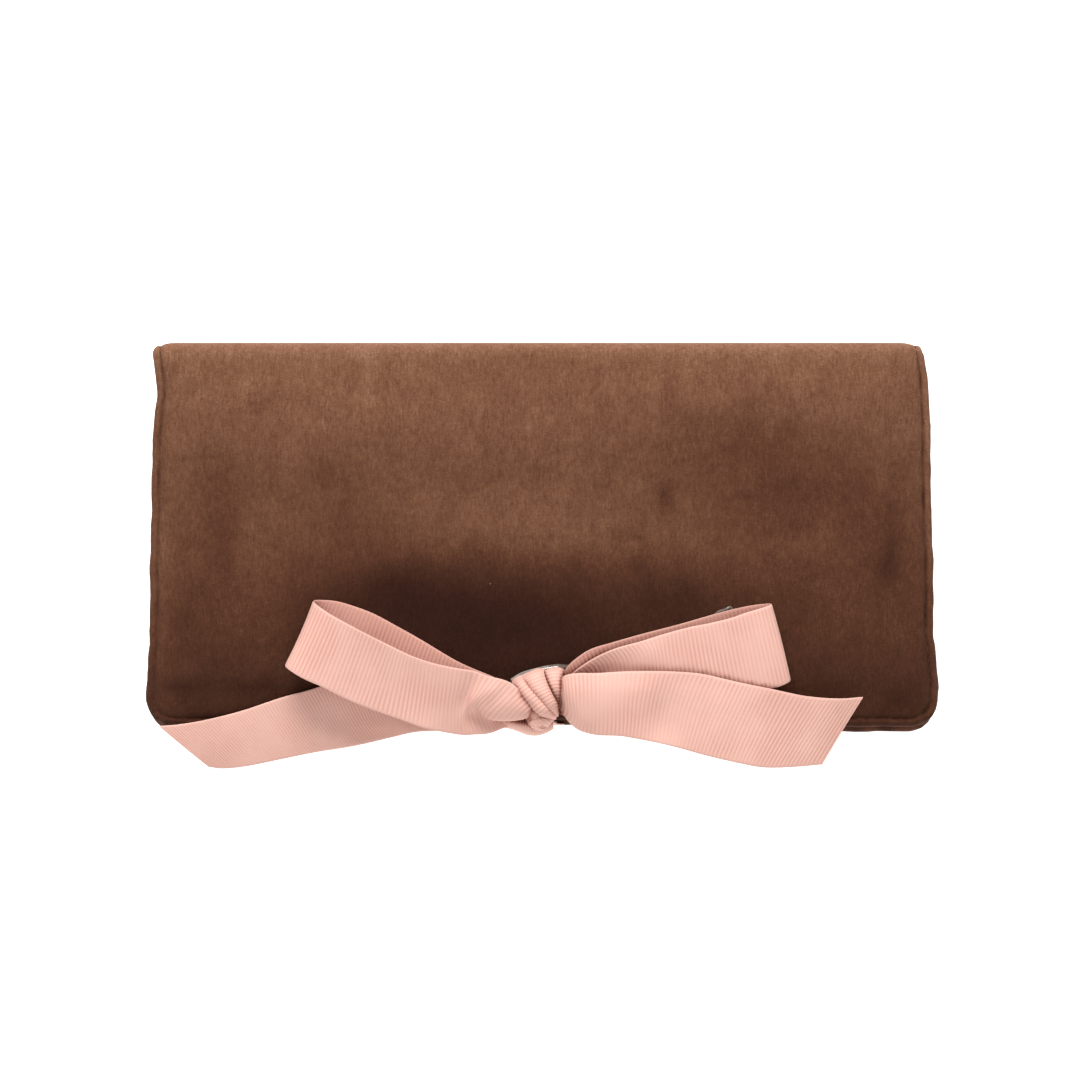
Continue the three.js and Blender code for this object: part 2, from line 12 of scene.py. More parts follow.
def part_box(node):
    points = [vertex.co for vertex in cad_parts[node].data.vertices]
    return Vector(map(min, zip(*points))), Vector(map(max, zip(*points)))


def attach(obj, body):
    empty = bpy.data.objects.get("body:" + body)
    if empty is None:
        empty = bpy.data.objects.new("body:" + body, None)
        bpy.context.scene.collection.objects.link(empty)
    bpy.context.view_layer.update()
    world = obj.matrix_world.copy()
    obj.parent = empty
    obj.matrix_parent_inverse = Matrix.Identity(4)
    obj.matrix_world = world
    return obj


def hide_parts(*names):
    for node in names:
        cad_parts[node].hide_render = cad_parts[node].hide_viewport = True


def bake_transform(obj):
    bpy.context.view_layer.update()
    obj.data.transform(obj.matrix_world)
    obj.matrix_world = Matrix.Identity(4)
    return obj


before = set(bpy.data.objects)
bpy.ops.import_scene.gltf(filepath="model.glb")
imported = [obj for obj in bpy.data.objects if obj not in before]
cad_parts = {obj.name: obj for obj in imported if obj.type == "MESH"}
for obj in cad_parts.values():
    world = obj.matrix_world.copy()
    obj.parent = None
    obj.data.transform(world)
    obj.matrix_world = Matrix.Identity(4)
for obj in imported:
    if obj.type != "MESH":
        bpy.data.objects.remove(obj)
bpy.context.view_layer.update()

MM = 0.001

# The photograph's view: its scale at the roll, and the point that shows in its middle.
PHOTO_PIXELS = 1080
PHOTO_PIXELS_PER_M = 3545
VIEW_TARGET = Vector((-0.7 * MM, -1.0 * MM, 13.8 * MM))
VIEW_ELEVATION = math.radians(80)
VIEW_DISTANCE = 1.0
SENSOR_MM = 36

# Sizes of the roll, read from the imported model.
BACK_LOW, BACK_HIGH = (Vector(corner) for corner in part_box("back_cover"))
FLAP_LOW, FLAP_HIGH = (Vector(corner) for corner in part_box("flap_cover"))
SPINE_LOW, SPINE_HIGH = (Vector(corner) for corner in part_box("spine_cover"))
HALF_LENGTH = BACK_HIGH.x
NEAR_Y = BACK_LOW.y
HALF_DEPTH = -NEAR_Y
FOLD_Y = SPINE_HIGH.y
FOLD_Z = SPINE_HIGH.z
PANEL_THICKNESS = BACK_HIGH.z
NEAR_EDGE_Z = FLAP_LOW.z + PANEL_THICKNESS
PANEL_FAR_Y = FLAP_HIGH.y
FLAP_SLOPE = (FOLD_Z - NEAR_EDGE_Z) / (PANEL_FAR_Y - NEAR_Y)
SPINE_MIDDLE_Z = FOLD_Z / 2


# Small helpers for meshes

def link_object(name, data):
    """A new object in the scene, for a mesh, a camera or a light."""
    thing = bpy.data.objects.new(name, data)
    bpy.context.scene.collection.objects.link(thing)
    return thing


def shade(mesh, smooth=True):
    mesh.polygons.foreach_set("use_smooth", [smooth] * len(mesh.polygons))


def add_object(name, vertices, faces):
    mesh = bpy.data.meshes.new(name)
    mesh.from_pydata([tuple(v) for v in vertices], [], faces)
    mesh.validate()
    mesh.update()
    shade(mesh)
    return link_object(name, mesh)


def smooth_steps(low, high, value):
    share = np.clip((value - low) / (high - low), 0, 1)
    return share * share * (3 - 2 * share)


def ripple(x, y, wavelength, seed):
    """Smooth, even noise between about -1 and 1, from seeded waves in many directions."""
    waves, peak = 9, 1.2
    draw = np.random.default_rng(seed)
    total = np.zeros_like(np.asarray(x, dtype=float))
    for _ in range(waves):
        turn = draw.uniform(0, 2 * math.pi)
        size = wavelength * draw.uniform(0.7, 1.5)
        start = draw.uniform(0, 2 * math.pi)
        along = (x * math.cos(turn) + y * math.sin(turn)) * 2 * math.pi / size
        total = total + np.sin(along + start)
    return total / math.sqrt(waves) / peak


def unevenness(x, y, *layers):
    """Uneven heights in metres: each layer has its height and wavelength in mm, and its seed."""
    return sum(height * MM * ripple(x, y, wavelength * MM, seed) for height, wavelength, seed in layers)


# Camera, at the photograph's angle

def view_axes():
    """The camera's place, and its directions: backwards, to the right and up."""
    back = Vector((0, -math.cos(VIEW_ELEVATION), math.sin(VIEW_ELEVATION)))
    right = Vector((1, 0, 0))
    return VIEW_TARGET + back * VIEW_DISTANCE, back, right, back.cross(right)


def add_camera():
    place, back = view_axes()[:2]
    data = bpy.data.cameras.new("view_camera")
    data.sensor_width = SENSOR_MM
    data.lens = SENSOR_MM * VIEW_DISTANCE * PHOTO_PIXELS_PER_M / PHOTO_PIXELS
    data.clip_start = 0.05
    data.clip_end = 20
    camera = link_object("view_camera", data)
    camera.location = place
    camera.rotation_euler = back.to_track_quat("Z", "Y").to_euler()
    bpy.context.scene.camera = camera


def from_photo(pixel_x, pixel_y, height):
    """The point that shows at a pixel of the photograph, at a height above the flap's slope."""
    place, back, right, up = view_axes()
    half = PHOTO_PIXELS / 2
    ray = (right * ((pixel_x - half) / PHOTO_PIXELS_PER_M) + up * ((half - pixel_y) / PHOTO_PIXELS_PER_M)
           - back * VIEW_DISTANCE)
    plane = NEAR_EDGE_Z + FLAP_SLOPE * (place.y - NEAR_Y) + height
    return place + ray * ((plane - place.z) / (ray.z - FLAP_SLOPE * ray.y))


# Materials

class Finish:
    """A node material with one Principled shader, and short calls for the nodes it needs."""

    # A Mix node's factor, two colours and result, by place, because other kinds share their names.
    MIX_FACTOR, MIX_FIRST, MIX_SECOND, MIX_RESULT = 0, 6, 7, 2

    def __init__(self, name):
        self.material = bpy.data.materials.new(name)
        self.material.use_nodes = True
        self.nodes = self.material.node_tree.nodes
        self.links = self.material.node_tree.links
        self.shader = self.nodes["Principled BSDF"]
        self.place = self.nodes.new("ShaderNodeTexCoord").outputs["Object"]

    def set(self, **values):
        for socket, value in values.items():
            self.shader.inputs[socket.replace("_", " ")].default_value = value

    def stretched(self, scale):
        node = self.nodes.new("ShaderNodeMapping")
        node.inputs["Scale"].default_value = scale
        self.links.new(self.place, node.inputs["Vector"])
        return node.outputs["Vector"]

    def noise(self, scale, detail=2.0, roughness=0.5, source=None):
        node = self.nodes.new("ShaderNodeTexNoise")
        node.inputs["Scale"].default_value = scale
        node.inputs["Detail"].default_value = detail
        node.inputs["Roughness"].default_value = roughness
        self.links.new(source or self.place, node.inputs["Vector"])
        return node.outputs["Fac"]

    def ramp(self, factor, stops):
        node = self.nodes.new("ShaderNodeValToRGB")
        while len(node.color_ramp.elements) < len(stops):
            node.color_ramp.elements.new(0.5)
        for element, (position, colour) in zip(node.color_ramp.elements, stops):
            element.position = position
            element.color = (*colour, 1)
        self.links.new(factor, node.inputs["Fac"])
        return node.outputs["Color"]

    def fill(self, socket, value):
        """Gives a socket its value: a link, a colour or a number; None leaves it as it is."""
        if isinstance(value, bpy.types.NodeSocket):
            self.links.new(value, socket)
        elif isinstance(value, tuple):
            socket.default_value = (*value, 1)
        elif value is not None:
            socket.default_value = value

    def mix(self, kind, factor, first, second):
        node = self.nodes.new("ShaderNodeMix")
        node.data_type = "RGBA"
        node.blend_type = kind
        self.fill(node.inputs[self.MIX_FACTOR], factor)
        self.fill(node.inputs[self.MIX_FIRST], first)
        self.fill(node.inputs[self.MIX_SECOND], second)
        return node.outputs[self.MIX_RESULT]

    def maths(self, kind, *values):
        node = self.nodes.new("ShaderNodeMath")
        node.operation = kind
        for socket, value in zip(node.inputs, values):
            self.fill(socket, value)
        return node.outputs[0]

    def axis(self, name, source):
        node = self.nodes.new("ShaderNodeSeparateXYZ")
        self.links.new(source, node.inputs[0])
        return node.outputs[name]

    def attribute(self, name):
        node = self.nodes.new("ShaderNodeAttribute")
        node.attribute_name = name
        return node.outputs["Fac"]

    def between(self, value, low, high, new_low=0.0, new_high=1.0):
        node = self.nodes.new("ShaderNodeMapRange")
        node.interpolation_type = "SMOOTHSTEP"
        ends = {"From Min": low, "From Max": high, "To Min": new_low, "To Max": new_high}
        for socket, number in ends.items():
            node.inputs[socket].default_value = number
        self.links.new(value, node.inputs["Value"])
        return node.outputs["Result"]

    def bump(self, height, distance, strength=1.0, under=None):
        node = self.nodes.new("ShaderNodeBump")
        node.inputs["Distance"].default_value = distance
        node.inputs["Strength"].default_value = strength
        self.links.new(height, node.inputs["Height"])
        if under:
            self.links.new(under, node.inputs["Normal"])
        return node.outputs["Normal"]

    def finish(self, colour=None, normal=None, rough=None):
        for name, source in (("Base Color", colour), ("Normal", normal), ("Roughness", rough)):
            if source:
                self.links.new(source, self.shader.inputs[name])
        return self.material


def velvet_finish():
    """Short brown pile: its lightness comes from a mesh attribute that holds painted light and shade over
    lighter and darker patches, with brushed mottling, grain and lint.
    """
    velvet = Finish("brown_velvet")
    mottled = velvet.noise(150, 4, 0.6)
    streaks = velvet.noise(240, 3, 0.6, velvet.stretched((1.0, 0.4, 1.0)))
    grain = velvet.noise(2300, 2, 0.65)
    flecks = velvet.noise(620, 3, 0.7)
    strands = velvet.noise(1700, 2, 0.6, velvet.stretched((1.0, 0.22, 1.0)))
    # The mesh attribute carries painted light and shade: lighter towards the fold, darker around the bow,
    # in the stitch groove and along the rim.
    nap = velvet.maths("MULTIPLY_ADD", velvet.attribute("nap_change"), PLAIN_NAP, PLAIN_NAP)
    for source, amount in ((mottled, 0.4), (streaks, 0.5), (grain, 1.0), (flecks, 0.55), (strands, 0.8)):
        nap = velvet.maths("MULTIPLY", nap, velvet.maths("MULTIPLY_ADD", source, amount, 1 - amount / 2))
    colour = velvet.ramp(nap, [(0.03, (0.017, 0.0043, 0.0022)), (0.2, (0.080, 0.029, 0.0150)),
                               (0.4, (0.158, 0.070, 0.038)), (0.6, (0.235, 0.120, 0.073)),
                               (1.0, (0.39, 0.232, 0.165))])
    specks = velvet.nodes.new("ShaderNodeTexVoronoi")
    specks.inputs["Scale"].default_value = 75
    velvet.links.new(velvet.stretched((1.0, 1.7, 1.0)), specks.inputs["Vector"])
    small = velvet.maths("LESS_THAN", specks.outputs["Distance"], 0.021)
    few = velvet.maths("GREATER_THAN", velvet.axis("X", specks.outputs["Color"]), 0.82)
    lint = velvet.maths("MULTIPLY", velvet.maths("MULTIPLY", small, few), 0.7)
    colour = velvet.mix("MIX", lint, colour, (0.55, 0.42, 0.34))
    velvet.set(Roughness=0.95, Sheen_Weight=0.15, Sheen_Roughness=0.5, Sheen_Tint=(0.8, 0.46, 0.34, 1),
               Specular_IOR_Level=0.1)
    pile = velvet.bump(velvet.noise(2600, 3, 0.7), 0.25 * MM, 0.6)
    soft = velvet.bump(velvet.noise(160, 3, 0.6), 0.5 * MM, 0.4, pile)
    return velvet.finish(colour, soft)


def ribbon_finish():
    """Pink grosgrain: the ribs are shaped in the mesh. Painted shade darkens their valleys, the closed-in
    folds and the loops' inner sides.
    """
    ribbon = Finish("pink_grosgrain")
    valley = ribbon.attribute("rib_valley")
    weave = ribbon.noise(900, 2, 0.5)
    patch = ribbon.noise(60, 2, 0.5)
    clear = ribbon.between(ribbon.noise(70, 2, 0.5), 0.35, 0.65, 0.16, 0.62)
    closed = ribbon.between(ribbon.attribute("closed_in"), 0.06, CREASE_LIMIT)
    colour = ribbon.ramp(patch, [(0.3, (0.70, 0.405, 0.335)), (0.7, (0.75, 0.45, 0.375))])
    # Painted shade from the mesh's attributes: rib valleys, closed-in folds (deeper in their valleys) and
    # the loops' inner sides; the weave's fine darkening is the ribbon's own texture.
    for share, shade_colour in ((ribbon.maths("MULTIPLY", valley, clear), (0.70, 0.50, 0.44)),
                                (closed, (0.50, 0.31, 0.26)),
                                (ribbon.maths("MULTIPLY", valley, closed), (0.55, 0.36, 0.30)),
                                (ribbon.attribute("inner_side"), (0.80, 0.70, 0.67)),
                                (ribbon.maths("MULTIPLY", weave, 0.12), (0.78, 0.68, 0.64))):
        colour = ribbon.mix("MULTIPLY", share, colour, shade_colour)
    ribbon.set(Roughness=0.62, Sheen_Weight=0.2, Sheen_Roughness=0.4, Sheen_Tint=(1.0, 0.85, 0.8, 1),
               Specular_IOR_Level=0.3)
    threads = ribbon.noise(2200, 2, 0.5)
    return ribbon.finish(colour, ribbon.bump(threads, 0.06 * MM, 0.4))


def plain_finish(name, dark, light, scale, rough, bump_scale, bump_depth, **values):
    plain = Finish(name)
    colour = plain.ramp(plain.noise(scale, 3, 0.55), [(0.3, dark), (0.7, light)])
    plain.set(Roughness=rough, **values)
    return plain.finish(colour, plain.bump(plain.noise(bump_scale, 3, 0.6), bump_depth, 0.6))


def satin_finish():
    """Rose-brown satin: a soft gloss, fine threads along the roll and slight shading."""
    satin = Finish("rose_brown_satin")
    threads = satin.noise(1400, 2, 0.6, satin.stretched((0.06, 1.0, 1.0)))
    base = satin.ramp(satin.noise(45, 3, 0.5),
                      [(0.25, (0.165, 0.062, 0.04)), (0.75, (0.245, 0.102, 0.066))])
    colour = satin.mix("MULTIPLY", satin.maths("MULTIPLY", threads, 0.35), base, (0.6, 0.5, 0.46))
    satin.set(Roughness=0.46, Anisotropic=0.5, Sheen_Weight=0.03, Sheen_Roughness=0.3,
              Sheen_Tint=(1.0, 0.8, 0.72, 1), Specular_IOR_Level=0.22)
    return satin.finish(colour, satin.bump(threads, 0.05 * MM, 0.5))


def tape_finish():
    """Woven zip tape: slanting twill lines in dark brown."""
    tape = Finish("brown_zip_tape")
    twill = tape.nodes.new("ShaderNodeTexWave")
    twill.inputs["Scale"].default_value = 330
    twill.inputs["Distortion"].default_value = 0.4
    tape.links.new(tape.place, twill.inputs["Vector"])
    colour = tape.ramp(twill.outputs["Fac"], [(0.1, (0.045, 0.022, 0.014)), (0.9, (0.11, 0.06, 0.042))])
    tape.set(Roughness=0.8, Sheen_Weight=0.04, Specular_IOR_Level=0.15)
    return tape.finish(colour, tape.bump(twill.outputs["Fac"], 0.12 * MM, 0.7))


def gilt_finish():
    """Pale gilt metal, polished, with fine wear in its gloss."""
    gilt = Finish("pale_gilt")
    wear = gilt.noise(700, 4, 0.65)
    tone = gilt.ramp(gilt.noise(120, 2, 0.5), [(0.3, (0.50, 0.33, 0.145)), (0.7, (0.62, 0.44, 0.22))])
    gilt.set(Metallic=1.0)
    rough = gilt.between(wear, 0.3, 0.75, 0.2, 0.36)
    return gilt.finish(tone, gilt.bump(wear, 0.006 * MM, 0.2), rough)


def film_finish():
    """Clear film, hazy with crinkles, so that it shows grey-brown over the dark velvet; its light streaks
    along the crinkles are painted highlights.
    """
    film = Finish("clear_film")
    streak = film.noise(420, 2, 0.5, film.stretched((0.2, 1.0, 1.0)))
    # Painted highlights: light streaks along the crinkles, over grey-brown film.
    haze_and_highlights = film.ramp(streak, [(0.38, (0.17, 0.13, 0.105)), (0.62, (0.60, 0.53, 0.47))])
    film.set(Roughness=0.2, Transmission_Weight=0.45, IOR=1.3, Coat_Weight=1.0, Coat_Roughness=0.08)
    return film.finish(haze_and_highlights, film.bump(streak, 0.4 * MM, 0.7))


# Velvet wraps: the outline's rounded corners, the section over the fold, and the cushion's form

CORNER_RADIUS = 8 * MM
FOLD_ROUND = 5 * MM
LOWER_FOLD_ROUND = 3.2 * MM
GRID_STEP = 2.0 * MM
CROWN = 2.5 * MM
SWELL = 1.2 * MM
TIE_DIP = 2.6 * MM
TIE_DIP_HALF_WIDTH = 52 * MM
TIE_DIP_REACH = 36 * MM
STITCH_INSET = 2.4 * MM
WALL = 1.1 * MM
WADDING_INSET = 3.2 * MM
WADDING_TOP = -2.9 * MM
WADDING_BOTTOM = -4.8 * MM
WADDING_ROUNDING = 0.5 * MM
WADDING_STEP = 4 * MM
WADDING_SHARE = 0.9
# How far from their places these fade out: the soft near corners and near edge, the pulls beside the
# stitches, the rolled edge's lumps, and the painted shade in the stitch groove and along the rim.
CORNER_REACH = 11 * MM
NEAR_EDGE_REACH = 4 * MM
PULL_REACH = 2.6 * MM
LUMP_REACH = 3 * MM
GROOVE_SHADE_REACH = 0.4 * MM
RIM_SHADE_REACH = 0.5 * MM
# How far inside the edge the cushion reaches its full height.
CUSHION_INSET = 14 * MM
EDGE_SEAM_STEP = 0.8 * MM
EDGE_SEAM_DEPTH = 0.16 * MM

# Edge roll and stitch groove: distance inside the edge and height over the panel's face, in mm.
EDGE_OUTER = [(0, -3.0), (0.12, -2.1), (0.4, -1.35), (0.9, -0.85), (1.4, -0.8), (1.8, -1.0), (2.1, -1.35),
              (2.35, -1.55), (2.65, -1.3), (3.1, -0.85), (3.9, -0.4), (5.2, -0.1), (7.0, 0)]
EDGE_AT_FOLD = [(0, -3.0), (0.12, -2.3), (0.4, -1.7), (0.9, -1.2), (1.4, -0.95), (1.8, -0.85), (2.1, -0.85),
                (2.35, -0.9), (2.65, -0.7), (3.1, -0.42), (3.9, -0.22), (5.2, -0.06), (7.0, 0)]
EDGE_INNER = [(0.12, -3.9), (0.4, -4.7), (0.9, -5.2), (1.5, -5.25), (1.8, -4.7), (1.9, -3.9), (2.0, -3.2),
              (2.3, -3.05), (2.65, -2.75)]

# The closed roll's sides, as the photo shows them: places in Y and distances from the middle, in mm.
LEFT_SIDE = [(-59, 110.9), (-51, 111.2), (-44, 111.3), (-31, 110.3), (-7, 110.2), (17, 109.9), (31, 109.6),
             (39, 108.3), (46, 109.3), (51, 109.9), (57, 110.0)]
RIGHT_SIDE = [(-59, 110.9), (-51, 111.0), (-41, 111.1), (-29, 109.8), (-7, 109.7), (15, 109.2), (29, 109.3),
              (43, 108.6), (51, 107.3), (57, 107.1)]
NEAR_DRAW = 1.9 * MM
NEAR_DRAW_HALF_WIDTH = 48 * MM
NEAR_DRAW_REACH = 22 * MM


def half_length_at(y, side):
    """How far the closed roll reaches sideways: its sides waver, and are drawn in at the fold."""
    table = np.array(LEFT_SIDE if side < 0 else RIGHT_SIDE) * MM
    uneven = unevenness(y, side * 40 * MM, (0.12, 7, 5), (0.05, 2.6, 6))
    return np.interp(y, table[:, 0], table[:, 1]) + uneven


def near_draw(x, w):
    """The ties draw the middle of the near edges inwards, and the edges waver a little."""
    sideways = np.clip(np.abs(x) / NEAR_DRAW_HALF_WIDTH, 0, 1)
    drawn = NEAR_DRAW * np.cos(sideways * math.pi / 2) ** 2 * (1 - smooth_steps(0, NEAR_DRAW_REACH, w))
    uneven = unevenness(x, 90 * MM, (0.16, 9, 12), (0.08, 3.2, 13))
    return drawn + uneven * (1 - smooth_steps(0, 7 * MM, w))


class Section:
    """The line a wrap follows in Y and Z: near edge, fold, middle of the spine, and its outward side."""

    def __init__(self, near, corner, end, radius, outward):
        near, corner, end = (np.array(point) for point in (near, corner, end))
        first = (corner - near) / np.linalg.norm(corner - near)
        second = (end - corner) / np.linalg.norm(end - corner)
        turn = math.acos(float(np.clip(first @ second, -1, 1)))
        run = radius * math.tan(turn / 2)
        self.near, self.first, self.second, self.radius, self.turn = near, first, second, radius, turn
        self.flat = float(np.linalg.norm(corner - near)) - run
        self.arc = radius * turn
        self.rise = float(np.linalg.norm(end - corner)) - run
        self.length = self.flat + self.arc + self.rise
        self.arc_start = corner - first * run
        self.arc_end = corner + second * run
        self.outward = outward
        self.sense = math.copysign(1, first[0] * second[1] - first[1] * second[0])

    def normal(self, direction):
        turned = np.stack([-direction[..., 1], direction[..., 0]], axis=-1)
        return turned * self.outward

    def at(self, w, height):
        """Y and Z of points w along the section and height outside it."""
        w = np.asarray(w, dtype=float)
        angle = np.clip((w - self.flat) / self.arc, 0, 1) * self.turn * self.sense
        cos, sin = np.cos(angle), np.sin(angle)
        direction = np.stack([cos * self.first[0] - sin * self.first[1],
                              sin * self.first[0] + cos * self.first[1]], axis=-1)
        inward = np.array([-self.first[1], self.first[0]]) * self.sense
        centre = self.arc_start + inward * self.radius
        spoke = np.stack([direction[..., 1], -direction[..., 0]], axis=-1) * self.sense
        on_arc = centre + spoke * self.radius
        on_flat = self.near + self.first * w[..., None]
        on_rise = self.arc_end + self.second * (w - self.flat - self.arc)[..., None]
        line = np.where((w < self.flat)[..., None], on_flat,
                        np.where((w < self.flat + self.arc)[..., None], on_arc, on_rise))
        return line + self.normal(direction) * np.asarray(height)[..., None]


def rounded_corners(x, w, radius):
    """Rounds the near corners of a plain grid, keeping each point's distance from the edge."""
    from_side = HALF_LENGTH - np.abs(x)
    inside = (from_side < radius) & (w < radius)
    side_first = from_side <= w
    gap = np.maximum(np.where(side_first, radius - from_side, radius - w), 1e-9)
    share = np.where(side_first, radius - w, radius - from_side) / gap
    angle = np.clip(share, 0, 1) * math.pi / 4
    sideways = np.where(side_first, np.cos(angle), np.sin(angle)) * gap
    nearwards = np.where(side_first, np.sin(angle), np.cos(angle)) * gap
    new_x = np.where(inside, np.sign(x) * (HALF_LENGTH - radius + sideways), x)
    new_w = np.where(inside, radius - nearwards, w)
    return new_x, new_w


def wrap_place(section, x, w, height):
    """World points on a section, with rounded near corners and the roll's wavering sides."""
    x, w = rounded_corners(x, w, CORNER_RADIUS)
    spot = section.at(w + near_draw(x, w), height)
    y = spot[..., 0]
    half = np.where(x < 0, half_length_at(y, -1), half_length_at(y, 1))
    return np.stack([x / HALF_LENGTH * half, y, spot[..., 1]], axis=-1)


def grid_lines(length, both_ends):
    """Line places across a panel: close together at its edges, even in the middle."""
    edge = [inset * MM for inset, _ in EDGE_OUTER]
    far = length - edge[-1] if both_ends else length
    count = max(2, round((far - edge[-1]) / GRID_STEP))
    middle = list(np.linspace(edge[-1], far, count + 1))[1:]
    lines = edge + middle
    if both_ends:
        lines += [length - inset for inset in reversed(edge[:-1])]
    return np.array(lines)


def cushion_height(x, y, w):
    """Crown, the hollow drawn down by the bow, and soft unevenness."""
    across = np.abs(x) / HALF_LENGTH
    along = np.clip(np.abs(y) / HALF_DEPTH, 0, 1)
    crown = (CROWN - SWELL) * (1 - across ** 4) * (1 - along ** 4)
    sideways = np.clip(np.abs(x) / TIE_DIP_HALF_WIDTH, 0, 1)
    inwards = np.clip((y - NEAR_Y) / TIE_DIP_REACH, 0, 1)
    dip = TIE_DIP * np.cos(sideways * math.pi / 2) ** 2 * np.cos(inwards * math.pi / 2) ** 2
    return crown - dip + unevenness(x, w, (0.32, 55, 3), (0.12, 19, 4))


def near_corner(x, w):
    """1 at the wrap's near corners, fading with the distance from them."""
    return np.exp(-((HALF_LENGTH - np.abs(x)) ** 2 + w ** 2) / CORNER_REACH ** 2)


def pucker(x, w, inset):
    """Small pulls beside the stitch line, strongest at it, and a lumpy rolled edge."""
    near_stitch = np.exp(-np.abs(inset - STITCH_INSET) / PULL_REACH)
    pulls = unevenness(x, w, (0.2, 7, 8), (0.1, 3.4, 9))
    lumps = unevenness(x, w, (0.24, 5, 10), (0.12, 2.6, 11))
    return near_stitch * pulls + np.exp(-inset / LUMP_REACH) * lumps * (1 + 1.6 * near_corner(x, w))


def grid_faces(index):
    """The four corners of each square in a grid of point numbers."""
    corners = [index[:-1, :-1], index[1:, :-1], index[1:, 1:], index[:-1, 1:]]
    return np.stack(corners, axis=-1).reshape(-1, 4)


class Swell:
    """How far the padding presses the flap's velvet out, over its start: a cloth simulation's result.

    The velvet is a sheet held along its stitching and under the bow's knot. Air pressure stands in for
    the padding. The rise is capped, then read between the sheet's points.
    """

    STEP = 3 * MM
    FRAMES = 20
    PRESSURE = 40
    SPARE_CLOTH = -0.004
    HIGHEST = 1.9 * MM
    LOWEST = -0.5 * MM
    HELD_BAND = 2.2 * STEP
    KNOT_REACH_X = 13 * MM
    KNOT_REACH_W = 16 * MM

    def __init__(self, section, form):
        reach = HALF_LENGTH - STITCH_INSET
        far = section.flat
        self.columns = np.linspace(-reach, reach, round(2 * reach / self.STEP) + 1)
        self.rows = np.linspace(STITCH_INSET, far, round((far - STITCH_INSET) / self.STEP) + 1)
        x, w = np.meshgrid(self.columns, self.rows, indexing="ij")
        edge = np.minimum(np.minimum(reach - np.abs(x), w - STITCH_INSET), far - w)
        knot = np.sqrt((x / self.KNOT_REACH_X) ** 2 + (w / self.KNOT_REACH_W) ** 2)
        held = np.clip(np.maximum(1 - edge / self.HELD_BAND, 1.3 - knot), 0, 1)
        self.rise = self.pressed_out(x, w, form(x, section.at(w, 0)[..., 0], w), held)

    def pressed_out(self, x, w, start, held):
        points = np.stack([x, w, start], axis=-1)
        index = np.arange(x.size).reshape(x.shape)
        sheet = add_object("cushion_cloth", points.reshape(-1, 3), grid_faces(index).tolist())
        group = sheet.vertex_groups.new(name="held")
        for number, weight in enumerate(held.reshape(-1)):
            if weight > 0:
                group.add([number], float(weight), "REPLACE")
        cloth = sheet.modifiers.new("padding_pressure", "CLOTH")
        cloth.collision_settings.use_collision = False
        cloth.point_cache.frame_end = self.FRAMES
        settings = cloth.settings
        settings.vertex_group_mass = group.name
        settings.quality = 6
        settings.mass = 0.01
        settings.tension_stiffness = 15
        settings.compression_stiffness = 15
        settings.shear_stiffness = 8
        settings.bending_stiffness = 0.25
        settings.use_pressure = True
        settings.uniform_pressure_force = self.PRESSURE
        settings.effector_weights.gravity = 0
        settings.shrink_min = self.SPARE_CLOTH
        for number in range(1, self.FRAMES + 1):
            bpy.context.scene.frame_set(number)
        solved = sheet.evaluated_get(bpy.context.evaluated_depsgraph_get()).to_mesh()
        places = np.empty(len(solved.vertices) * 3)
        solved.vertices.foreach_get("co", places)
        rise = places.reshape(x.shape + (3,))[..., 2] - start
        bpy.data.objects.remove(sheet)
        bpy.context.scene.frame_set(1)
        high = self.HIGHEST * np.tanh(np.maximum(rise, 0) / self.HIGHEST)
        low = self.LOWEST * np.tanh(np.minimum(rise, 0) / self.LOWEST)
        return high + low

    @staticmethod
    def spot(value, lines):
        """The line before each value, and how far the value lies from it to the next one, eased."""
        place = np.clip(np.interp(value, lines, np.arange(len(lines))), 0, len(lines) - 1.001)
        before = place.astype(int)
        return before, smooth_steps(0, 1, place - before)

    def at(self, x, w):
        """The rise at many places, eased between the four sheet points around each."""
        column, over = self.spot(x, self.columns)
        row, up = self.spot(w, self.rows)
        left = self.rise[column, row] * (1 - up) + self.rise[column, row + 1] * up
        right = self.rise[column + 1, row] * (1 - up) + self.rise[column + 1, row + 1] * up
        return left * (1 - over) + right * over
